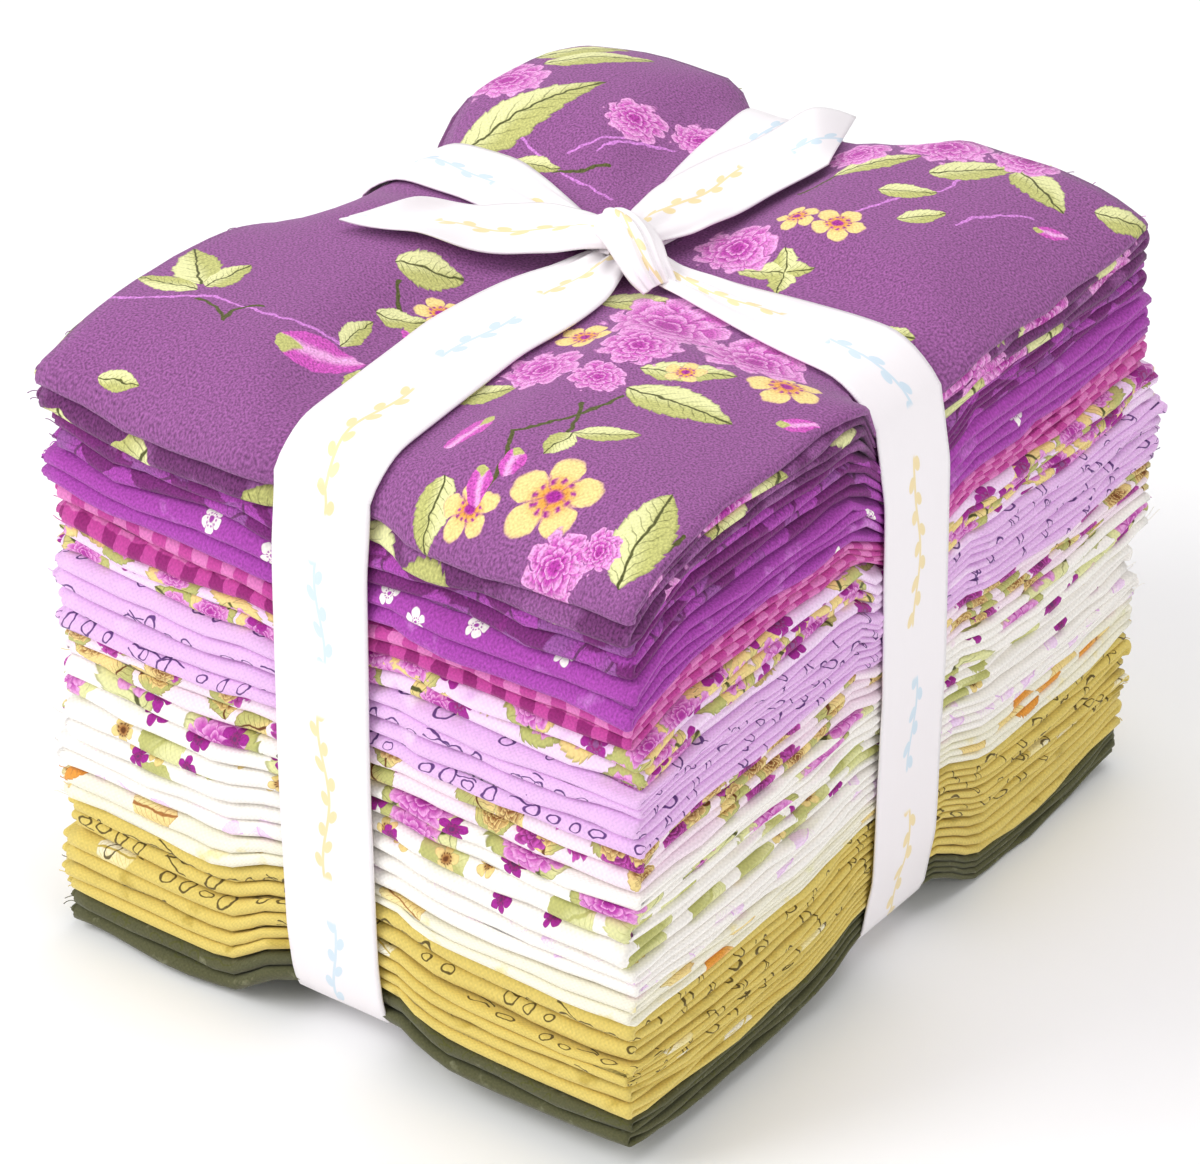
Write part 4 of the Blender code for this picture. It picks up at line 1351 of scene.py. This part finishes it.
# %% Bud in its calyx
bud, given, out = shader_group("bud", MOTIF, DRAWN)
tree = bud
x, y = given["Local"].x, given["Local"].y
inside = (1.0 - x * x).most(0.0).power(0.6) * (0.86 - x * 0.1) - abs(y)
fold = abs((y * 2.2 + x * x * 0.6).sin())
body = blend(tree, given["Light"], given["Middle"], fold.smooth(0.1, 0.8))
calyx = (x + abs(y) * 0.9).smooth(-0.25, -0.4)
feed(tree, out.inputs["Colour"], blend(tree, body, given["Dark"], calyx))
feed(tree, out.inputs["Mask"], inside.smooth(0.0, 0.06))
print("nodes in the bud:", len(tree.nodes))

# %% [markdown]
# ## Strokes and pen loops
#
# Stems are strokes: curved lines with a start, an end and a bend. Two of the lilac cloths, two of the golden
# ones and the dark one below them carry fine pen work, row upon row of slanted loops as on a practice page.
# A row is cut into cells, and each cell draws its own ring with a random width and height, so that the line
# never repeats exactly.

# %% Stroke
stroke, given, out = shader_group(
    "stroke", {"Local": "Vector", "Bend": "Float", "Length": "Float"}, {"Distance": "Float"}
)
tree = stroke
x, y = given["Local"].x, given["Local"].y
off_line = abs(y - (1.0 - x * x) * given["Bend"])
past_end = (abs(x) - 1.0).most(0.0) * 3.0
feed(tree, out.inputs["Distance"], (off_line + past_end) * given["Length"])
print("nodes in the stroke:", len(tree.nodes))

# %% Pen loops
LOOP_ROW, LOOP_CELL = 6.8, 4.0  # mm from row to row, and from loop to loop
LOOP_SLANT = 0.35
ROW_SHIFT = 37.7  # mm that each row starts further on, so that rows differ
STROKE_WAVE = 0.31  # the long strokes swing up and down once in about 20 mm
pen_loops, given, out = shader_group("pen loops", {"Place": "Vector"}, {"Mask": "Float"})
tree = pen_loops
place = given["Place"]
row = (place.y / LOOP_ROW + 0.2).floor()
up = place.y - (row + 0.3) * LOOP_ROW
run = place.x + up * LOOP_SLANT + row * ROW_SHIFT
cell = (run / LOOP_CELL).floor()
random = add_node(
    tree, "ShaderNodeTexWhiteNoise", pack(tree, cell, row), output="Color", noise_dimensions="2D"
)
ring_x = (run - (cell + 0.5) * LOOP_CELL) / (random.x * 0.7 + 0.7)
ring_y = (up - random.z * 0.8) / (random.y.power(3.0) * 1.3 + 0.65)
ring = abs((ring_x * ring_x + ring_y * ring_y).root() - 1.0)
ring = ring + random.z.below(0.45)
base = abs(up + 0.35 + (run * 1.5).sin() * 0.25) * 1.1
swing = run * STROKE_WAVE
long_stroke = abs(swing.sin() * 1.9 - up) * 1.1 + swing.cos().smooth(0.1, -0.2)
gap = noise(tree, pack(tree, run * 0.09, row * 3.1)).smooth(0.2, 0.12)
ink = ring.least(base.least(long_stroke) + gap).smooth(0.23, 0.11)
feed(tree, out.inputs["Mask"], ink)
print("nodes in the pen loops:", len(tree.nodes))

# %% [markdown]
# ## Grounds
#
# Under the motifs lie two kinds of ground: woven-look checks, and mottling as of a sponged dye. Gingham has
# two sets of stripes, which mix to the full colour where they cross.

# %% Gingham and mottling
gingham, given, out = shader_group(
    "gingham", {"Place": "Vector", "Check": "Float", "Light": "Color", "Middle": "Color", "Dark": "Color"},
    {"Colour": "Color"},
)
tree = gingham
stripes = given["Place"] / (given["Check"] * 2.0)
up_stripe = stripes.x.fract().smooth(0.48, 0.52)
cross_stripe = stripes.y.fract().smooth(0.48, 0.52)
either = blend(tree, given["Light"], given["Middle"], up_stripe.most(cross_stripe))
feed(tree, out.inputs["Colour"], blend(tree, either, given["Dark"], up_stripe * cross_stripe))

mottling, given, out = shader_group(
    "mottling", {"Place": "Vector", "Size": "Float", "Ground": "Color", "Patch": "Color", "Share": "Float"},
    {"Colour": "Color"},
)
tree = mottling
cloud = noise(tree, given["Place"] / given["Size"], 1.0, 3.0)
limit = 0.5 - given["Share"]
patch = add_node(tree, "ShaderNodeMapRange", cloud, limit - 0.12, limit + 0.12, 0.0, 1.0)
feed(tree, out.inputs["Colour"], blend(tree, given["Ground"], given["Patch"], patch))
print("grounds ready")

# %% [markdown]
# ## Motifs in their places, and motifs scattered
#
# The top of the first cloth shows its print whole, so each of its motifs gets a place of its own, in a
# short table a reader can move about. One drawing serves all leaves: for each row of the table two dot
# products find the place in that motif's own square, and the tree keeps the row whose middle is nearest.
# That costs seven small nodes a motif instead of a whole drawing.
#
# The other cloths show only a narrow band of print at each fold, so their motifs are scattered: a Voronoi
# texture gives the middle of the nearest cell and a random colour, which turns and picks the motif there.

# %% Scattered motifs
scatter, given, out = shader_group(
    "scattered places",
    {"Place": "Vector", "Cell": "Float", "Size": "Float", "Seed": "Float"},
    {"Local": "Vector", "Pick": "Float"},
)
tree = scatter
cells = given["Place"] / given["Cell"] + given["Seed"]
cells = pack(tree, cells.x, cells.y, 0.0)
settings = {"voronoi_dimensions": "2D", "named": {"Scale": 1.0, "Randomness": 0.75}}
middle = add_node(tree, "ShaderNodeTexVoronoi", cells, output="Position", **settings)
random = Field(tree, middle.socket.node.outputs["Color"])
local = (cells - middle) * (given["Cell"] / given["Size"])
turned = add_node(
    tree, "ShaderNodeVectorRotate", local, named={"Angle": random.x * math.tau}, rotation_type="Z_AXIS"
)
feed(tree, out.inputs["Local"], turned)
feed(tree, out.inputs["Pick"], random.y)
print("nodes in the scatter:", len(tree.nodes))


# %% Layers of a print
def dyed(light, middle, dark):
    """The three dyes of a motif, by the names of its sockets."""
    return {"Light": DYES[light], "Middle": DYES[middle], "Dark": DYES[dark]}


def scattered(group, cell, size, seed, share, *dyes):
    """A layer of motifs strewn over the cloth: sizes in mm, and the share of the places that are filled."""

    def layer(tree, place, colour):
        spot = use(tree, scatter, Place=place, Cell=cell, Size=size, Seed=seed)
        drawn = use(tree, group, Local=spot["Local"], **dyed(*dyes))
        return blend(tree, colour, drawn["Colour"], drawn["Mask"] * spot["Pick"].below(share))

    return layer


def patches(size, dye_name, share):
    """A layer of soft blotches."""

    def layer(tree, place, colour):
        given = {"Place": place, "Size": size, "Ground": colour, "Patch": DYES[dye_name], "Share": share}
        return use(tree, mottling, **given)["Colour"]

    return layer


def penned(dye_name, start):
    """A layer of pen loops; start is how far on in the pattern this cloth was cut, in mm."""

    def layer(tree, place, colour):
        mask = use(tree, pen_loops, Place=place + (start, start, 0.0))["Mask"] * 0.92
        return blend(tree, colour, DYES[dye_name], mask)

    return layer


def checked(check, *dyes):
    """A layer of gingham that covers the cloth."""

    def layer(tree, place, colour):
        return use(tree, gingham, Place=place, Check=check, **dyed(*dyes))["Colour"]

    return layer


print("kinds of layer so far:", [kind.__name__ for kind in (scattered, patches, penned, checked)])


# %% Motifs at listed places
def placed_at(middle, half_length, half_width, angle):
    """Two rows of numbers that turn a place (u, v, 1) of the cut cloth into one in the motif's square."""
    u = (0.5 + middle[0] / WIDTH) * FLAT[0] / FLAT_PLIES
    v = (0.5 - middle[1] / DEPTH) * FLAT[1] / FLAT_STRIPS
    along = (math.cos(angle), -math.sin(angle), half_length)
    across = (math.sin(angle), math.cos(angle), half_width)
    return [(a / half, b / half, -(a * u + b * v) / half) for a, b, half in (along, across)]


def from_to(x, y, tip_x, tip_y, width):
    """A long motif from its stalk to its tip."""
    half = math.hypot(tip_x - x, tip_y - y) / 2
    return placed_at(((x + tip_x) / 2, (y + tip_y) / 2), half, width / 2, math.atan2(tip_y - y, tip_x - x))


def round_at(x, y, radius, turn):
    """A round motif, turned by some degrees."""
    return placed_at((x, y), radius, radius, math.radians(turn))


def own_square(tree, place, rows):
    """The place in a motif's own square: two dot products."""
    settings = {"operation": "DOT_PRODUCT", "output": "Value"}
    return pack(tree, *[add_node(tree, "ShaderNodeVectorMath", place, row, **settings) for row in rows])


def placed(group, place_one, table, *dyes):
    """A layer of motifs at the places in a table; near is the square of the nearest one."""
    first, *others = [place_one(*row) for row in table]

    def layer(tree, place, colour):
        flat = pack(tree, place.x, place.y, 1.0)
        near = own_square(tree, flat, first)
        far = near.length()
        for rows in others:
            local = own_square(tree, flat, rows)
            distance = local.length()
            near = blend(tree, near, local, distance.below(far))
            far = distance.least(far)
        drawn = use(tree, group, Local=near, **dyed(*dyes))
        return blend(tree, colour, drawn["Colour"], drawn["Mask"])

    return layer


def stems(strokes, width, dye_name):
    """A layer of curved strokes: x, y, x and y of the ends, and the bend as a share of half the length."""

    def layer(tree, place, colour):
        flat = pack(tree, place.x, place.y, 1.0)
        near = None
        for x, y, end_x, end_y, bend in strokes:
            half = math.hypot(end_x - x, end_y - y) / 2
            local = own_square(tree, flat, from_to(x, y, end_x, end_y, 2 * half))
            distance = use(tree, stroke, Local=local, Bend=bend, Length=half)["Distance"]
            near = distance if near is None else near.least(distance)
        return blend(tree, colour, DYES[dye_name], near.smooth(width, width * 0.6))

    return layer


example = round_at(0, 0, 5, 0)
print("a 5 mm motif in the middle of the top:", [[round(value, 2) for value in row] for row in example])


# %% The large print on top
LEAVES = (
    # x and y of the stalk, x and y of the tip, width, in mm from the middle of the folded cloth
    (26, -27, 39.5, -20.5, 6), (27.5, -33, 46.5, -32.4, 8.5), (29.5, -49, 38, -44, 4.5),
    (29.5, -49, 28.5, -56, 4.5), (17, -65, 20, -75, 6), (53.5, -71, 50.5, -54, 9), (3, -7, 14, 1, 6),
    (2, -48, 10, -39, 6), (15, 15.5, 25, 21, 5), (18, 23, 25, 13, 4.5), (30, 38, 36, 44, 4.5),
    (22, 44.5, 31, 49.5, 4.5), (12.3, 46.7, 20.5, 59.5, 5), (25.4, 54.5, 35.6, 67, 7.5),
    (35.6, 65.4, 48, 60, 8), (43.5, 10.5, 50.5, 15, 4.5), (51, 65, 59, 71, 5.5), (-57, 56, -46, 70, 8),
    (-53, 53.5, -38, 65.6, 7), (-51, 22, -37.5, 50, 10), (-46.5, 17.5, -40.5, 25, 5.5),
    (-40, 25, -31, 27.5, 5), (-46, -47.8, -57.5, -48.5, 5), (-46.5, -46, -56, -36, 7.5),
    (-45.5, -46.5, -44, -36.5, 5.5), (-27, -21, -18, -14, 8), (-21.5, -33, -15, -27.5, 4.5),
    (-47, -71, -40, -69, 3.5), (-19.5, -44, -20.5, -35, 3.5), (-14, -47, -11, -55, 3.5),
)
BUDS = (
    # the same
    (-26, -53, -14.5, -45.4, 9), (21.5, -61.5, 24.5, -67.5, 4.2), (24.5, -56.5, 25.5, -62, 4.6),
    (52, -27.5, 57, -23, 4), (-16.5, -31, -12, -35.5, 3.6), (14.5, -50, 12.5, -61, 5.5),
    (47.5, 52, 51.5, 55.5, 3),
)
BLOSSOMS = (
    # x, y, radius, turn in degrees
    (18, -8, 12, 10), (36, -10, 10, 70), (21.5, -21, 7, 130), (10.5, -33, 7.5, 30), (22, -33, 5, 80),
    (10, 20, 7.5, 55), (10.5, 56, 6, 20), (21, 66.5, 8.5, 100), (35, 71, 7, 15), (-54, 45, 8, 60),
    (-26.5, 44.7, 5.8, 0), (-17.5, 51, 5.2, 40), (42, -71.5, 5.5, 25), (47.5, -67.5, 3.5, 80),
)
FLOWERS = (
    # the same
    (8.5, -19.5, 5, 20), (35, -62.5, 7.6, 100), (24, -68, 4.6, 40), (46.5, -17.5, 6.2, 65),
    (23.5, 31, 5, 10), (16, 30, 4, 50), (-15.5, -24, 4.2, 0), (32.5, -24, 3.5, 30),
)
PINK_STEMS = (
    # x and y of one end, x and y of the other, bend
    (-57, -56, -42, -48, 0.08), (-42, -48, -19, -43.5, 0.12), (23.5, 35.7, 31, 50, -0.15),
    (-31, 31, -25, 39, 0.1), (-41, 31, -18, 25, 0.12), (46, 54, 39, 42, 0.15), (31, 50, 29, 60, 0.15),
    (-26, 33, -18, 45, -0.2),
)
OLIVE_STEMS = (
    # the same
    (-44, -50.5, -36.3, -53.3, -0.3), (-36.3, -53.3, -33.7, -45.9, -0.35), (21, -54, 28.7, -35.6, 0.14),
    (28.7, -49.5, 25, -41, 0.1), (-44, 24, -22, 31, 0.12), (53.5, -71, 57, -60, 0.1),
    (-24, -24, -15, -31, 0.2), (9, 40, 13, 48, 0.2), (24.8, -66, 21, -54, 0.1),
)
print(len(LEAVES) + len(BLOSSOMS) + len(FLOWERS) + len(BUDS), "motifs on top")

# %% [markdown]
# ## Sixteen prints
#
# Each print is a ground and a list of layers, laid one on another as a printer lays screens. The first has
# the placed motifs; past the ply that shows on top, its folds carry leaves and blossoms strewn at random on
# a ground with darker patches. These patches are painted shade: they darken the folded plies at the sides of
# the stack as if less light reached them.

# %% Layers that stay off the top ply
ROUND_THE_FOLD = 4.0  # mm past the size of a ply


def past_the_top(layer):
    """The same layer, only where the cloth has gone round its first folds."""

    def outside(tree, place, colour):
        folded = place.x.above(WIDTH + ROUND_THE_FOLD).most(place.y.above(DEPTH + ROUND_THE_FOLD))
        return blend(tree, colour, layer(tree, place, colour), folded)

    return outside


GREEN = ("leaf", "leaf shade", "olive")
PINK = ("pale pink", "pink", "magenta")
BROWN = ("butter", "rust", "brown")
PLUM = ("magenta", "gingham dark", "plum shade")
print("sets of dyes:", len((GREEN, PINK, BROWN, PLUM)))

# %% The prints
PRINTS = {
    # cloth: ground, then its layers; scattered layers give cell, size, seed and filled share, then dyes
    "cloth_01_plum_floral": ("plum", [
        stems(PINK_STEMS, 0.35, "orchid light"),
        stems(OLIVE_STEMS, 0.45, "olive"),
        placed(leaf, from_to, LEAVES, *GREEN),
        placed(flower, round_at, FLOWERS, "butter", "orange", "magenta"),
        placed(blossom, round_at, BLOSSOMS, *PINK),
        placed(bud, from_to, BUDS, "pale pink", "pink", "leaf shade"),
        # Painted shade: darker plum patches over the folded plies only, where the sides of the stack lie in
        # shade
        past_the_top(patches(9.0, "plum shade", 0.6)),
        past_the_top(scattered(leaf, 15, 6, 1.3, 0.6, *GREEN)),
        past_the_top(scattered(blossom, 21, 7, 4.1, 0.5, *PINK)),
    ]),
    "cloth_02_purple_tonal": ("purple", [
        patches(6.0, "plum shade", 0.15),
        scattered(leaf, 9, 5, 2.2, 0.7, "orchid", "purple light", "plum shade"),
        patches(14.0, "magenta", -0.05),
    ]),
    "cloth_03_orchid_sprig": ("orchid", [
        patches(10.0, "orchid light", 0.1),
        scattered(flower, 11, 1.9, 3.4, 0.4, "white", "white", "orchid"),
    ]),
    "cloth_04_pink_gingham": ("gingham light", [
        checked(2.8, "gingham light", "gingham middle", "gingham dark"),
    ]),
    "cloth_05_lilac_floral": ("lilac light", [
        patches(8.0, "lilac", 0.1),
        scattered(leaf, 9.5, 5.4, 6.8, 0.8, "butter", "leaf shade", "olive"),
        scattered(blossom, 9.5, 3.8, 6.8, 0.75, *PINK),
        scattered(flower, 9, 2.8, 7.7, 0.5, "magenta", "gingham dark", "plum"),
    ]),
    "cloth_06_lilac_loops": ("lilac", [patches(12.0, "lilac light", 0.0), penned("ink", 0.0)]),
    "cloth_07_lilac_loops": ("lilac", [patches(12.0, "lilac light", 0.05), penned("ink", 212.4)]),
    "cloth_08_brown_gold_floral": ("blush", [
        scattered(leaf, 8.5, 4.0, 3.9, 0.7, "butter", "leaf shade", "brown"),
        scattered(blossom, 12, 3.6, 9.6, 0.5, "pink", "gingham dark", "plum shade"),
        scattered(blossom, 8.5, 2.9, 3.9, 0.65, *BROWN),
    ]),
    "cloth_09_pink_plum_floral": ("white", [
        patches(12.0, "pale pink", -0.2),
        scattered(leaf, 18, 8.5, 2.5, 0.65, "leaf", "leaf shade", "olive"),
        scattered(blossom, 18, 6.2, 2.5, 0.65, *PINK),
        scattered(flower, 13, 2.8, 7.3, 0.4, *PLUM),
    ]),
    "cloth_10_green_leaf": ("white", [
        scattered(leaf, 14, 5.0, 3.1, 0.5, "leaf", "leaf shade", "leaf shade"),
        scattered(flower, 11, 2.4, 5.5, 0.5, *BROWN),
        scattered(flower, 11, 2.0, 6.1, 0.35, *PLUM),
    ]),
    "cloth_11_faint_lilac": ("white", [
        scattered(leaf, 7, 2.6, 4.4, 0.4, "white", "lilac light", "lilac"),
        scattered(flower, 19, 2.4, 1.9, 0.25, "butter", "orange", "rust"),
    ]),
    "cloth_12_cream_mottled": ("cream", [
        patches(7.0, "pale yellow", 0.1),
        patches(11.0, "leaf", -0.1),
        scattered(leaf, 15, 5, 8.8, 0.4, "pale yellow", "butter", "rust"),
        scattered(leaf, 15, 5, 8.8, 0.16, "butter", "orange", "rust"),
    ]),
    "cloth_13_golden_loops": ("golden", [
        patches(12.0, "golden shade", 0.0),
        patches(15.0, "pale yellow", -0.12),
        penned("brown ink", 97.1),
    ]),
    "cloth_14_golden_loops": ("golden", [
        patches(9.0, "golden shade", 0.1),
        scattered(leaf, 16, 4, 9.4, 0.35, "cream", "pale yellow", "golden shade"),
        penned("brown ink", 331.7),
    ]),
    "cloth_15_golden_plain": ("golden", [
        patches(8.0, "golden shade", 0.1),
        patches(17.0, "pale yellow", -0.12),
        scattered(leaf, 18, 4, 2.9, 0.3, "cream", "cream", "golden"),
    ]),
    "cloth_16_dark_olive": ("dark olive", [patches(3.0, "grey olive", 0.1), penned("olive", 58.0)]),
}
print("prints:", len(PRINTS), "with", sum(len(layers) for _, layers in PRINTS.values()), "layers in all")

# %% [markdown]
# ## Cotton
#
# Every cloth has the same shader: the print goes through the weave group, which breaks it up and gives the
# height for the bump. Cotton is rough, hardly shiny, and its loose fibres catch light at a grazing angle,
# which is what sheen is for. Before it is printed, the place is pushed about by up to half a millimetre, so
# that outlines look brushed and not cut.

# %% Print and finish every cloth
FLAT_SIZE = (FLAT[0], FLAT[1], 1.0)
BRUSH_WOBBLE, BRUSH_SCALE = 0.5, 0.45  # mm, and noise steps a mm
SPECKLE = {"cloth_01_plum_floral": 0.95, "cloth_02_purple_tonal": 0.7, "cloth_03_orchid_sprig": 0.55}
PALE_SPECKLE = 0.3


def brushed(tree, place):
    """The place, pushed about a little."""
    named = {"Scale": BRUSH_SCALE, "Detail": 1.0}
    cloud = add_node(tree, "ShaderNodeTexNoise", place, named=named, output="Color", noise_dimensions="2D")
    return place + (cloud - 0.5) * (2 * BRUSH_WOBBLE)


for node, (ground, layers) in PRINTS.items():
    tree = finishes[node].node_tree
    place = add_node(tree, "ShaderNodeUVMap", uv_map="flat") * FLAT_SIZE
    on_print = brushed(tree, place)
    colour = DYES[ground]
    for layer in layers:
        colour = layer(tree, on_print, colour)
    woven = use(tree, weave, Place=place, Print=colour, Speckle=SPECKLE.get(node, PALE_SPECKLE))
    bump = add_node(
        tree,
        "ShaderNodeBump",
        output="Normal",
        named={"Height": woven["Height"], "Strength": 0.3, "Distance": 0.12 * MM},
    )
    shader = tree.nodes["Principled BSDF"]
    feed(tree, shader.inputs["Base Color"], woven["Colour"])
    feed(tree, shader.inputs["Roughness"], woven["Roughness"])
    feed(tree, shader.inputs["Normal"], bump)
    shader.inputs["Specular IOR Level"].default_value = 0.2
    shader.inputs["Sheen Weight"].default_value = 0.12
    shader.inputs["Sheen Roughness"].default_value = 0.5
    print(node, "has", len(tree.nodes), "nodes in its finish")

# %% [markdown]
# ## Satin ribbon
#
# The ribbon is white satin with a firm woven edge. Its yarns run along it and lie close, so it is smoother
# than cotton and a soft light runs across the folds. Down its middle goes a small printed sprig: a wavy
# yellow stem with leaves to both sides, then a pale blue one, in turn.

# %% Satin finish
SPRIG_REPEAT = 3.6  # ribbon widths from one yellow sprig to the next
YELLOW_MIDDLE, YELLOW_HALF = 0.9, 0.85  # middle and half length of a sprig, in ribbon widths
BLUE_MIDDLE, BLUE_HALF = 2.75, 0.5
SPRIG_STRENGTH = 0.6
STEM_WAVE, STEM_SWING = 4.4, 0.05
LEAVES_PER_WIDTH = 6.0
LEAF_LENGTH, LEAF_WIDTH = 5.75, 0.045
YARN, EDGE_YARN = 0.3, 0.5  # mm from one yarn to the next, on the face and in the firm edge

shader = ribbon_finish.node_tree.nodes["Principled BSDF"]
tree = ribbon_finish.node_tree
flat = add_node(tree, "ShaderNodeUVMap", uv_map="flat")
across, along = flat.x - 0.5, flat.y
repeat = (along / SPRIG_REPEAT).fract() * SPRIG_REPEAT
wave = (along * STEM_WAVE).sin() * STEM_SWING
stem = abs(across - wave).smooth(0.02, 0.01)
leaf_row = along * LEAVES_PER_WIDTH
flip = even(leaf_row.floor())
leaf_x = (leaf_row.fract() - 0.5) * (LEAF_LENGTH / LEAVES_PER_WIDTH)
leaf_y = (across - wave - flip * LEAF_WIDTH) / LEAF_WIDTH
tilted = pack(tree, leaf_x * 2.2, leaf_y + leaf_x * flip * -0.8, 0.0)
leaves = (1.0 - tilted.length()).smooth(0.0, 0.2)
in_yellow = (YELLOW_HALF - abs(repeat - YELLOW_MIDDLE)).smooth(0.0, 0.05)
in_blue = (BLUE_HALF - abs(repeat - BLUE_MIDDLE)).smooth(0.0, 0.05)
sprig = stem.most(leaves) * SPRIG_STRENGTH
colour = blend(tree, DYES["ribbon"], DYES["yellow"], sprig * in_yellow)
colour = blend(tree, colour, DYES["pale blue"], sprig * in_blue)
yarn = (flat.x * (RIBBON_WIDTH / YARN) * math.tau).sin() * 0.5
yarn = yarn + noise(tree, pack(tree, flat.x * 60.0, along * 3.0)) * 0.5
selvedge = abs(across).smooth(0.46, 0.475) * (along * (RIBBON_WIDTH / EDGE_YARN) * math.tau).sin()
feed(tree, shader.inputs["Base Color"], colour.scaled(yarn * 0.015 + 0.99))
bump = add_node(
    tree,
    "ShaderNodeBump",
    output="Normal",
    named={"Height": yarn * 0.5 + selvedge, "Strength": 0.2, "Distance": 0.1 * MM},
)
feed(tree, shader.inputs["Normal"], bump)
feed(tree, shader.inputs["Roughness"], yarn * 0.04 + 0.42)
shader.inputs["Specular IOR Level"].default_value = 0.4
shader.inputs["Sheen Weight"].default_value = 0.1
print("nodes in the satin:", len(tree.nodes))

# %% [markdown]
# ## Hand over to the frame
#
# Each sheet replaces its solid and rides on the one body that the bundle has.

# %% Tie every piece to the frame
for node, piece in cloths.items():
    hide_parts(node)
    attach(piece, "root")
    fringe = threads[node]
    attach(fringe, "root")
    flat = (FLAT[0] * MM, FLAT[1] * MM)
for name, (piece, length, area) in ribbons.items():
    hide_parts("ribbon")
    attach(piece, "root")
    flat = (RIBBON_WIDTH * MM, length)
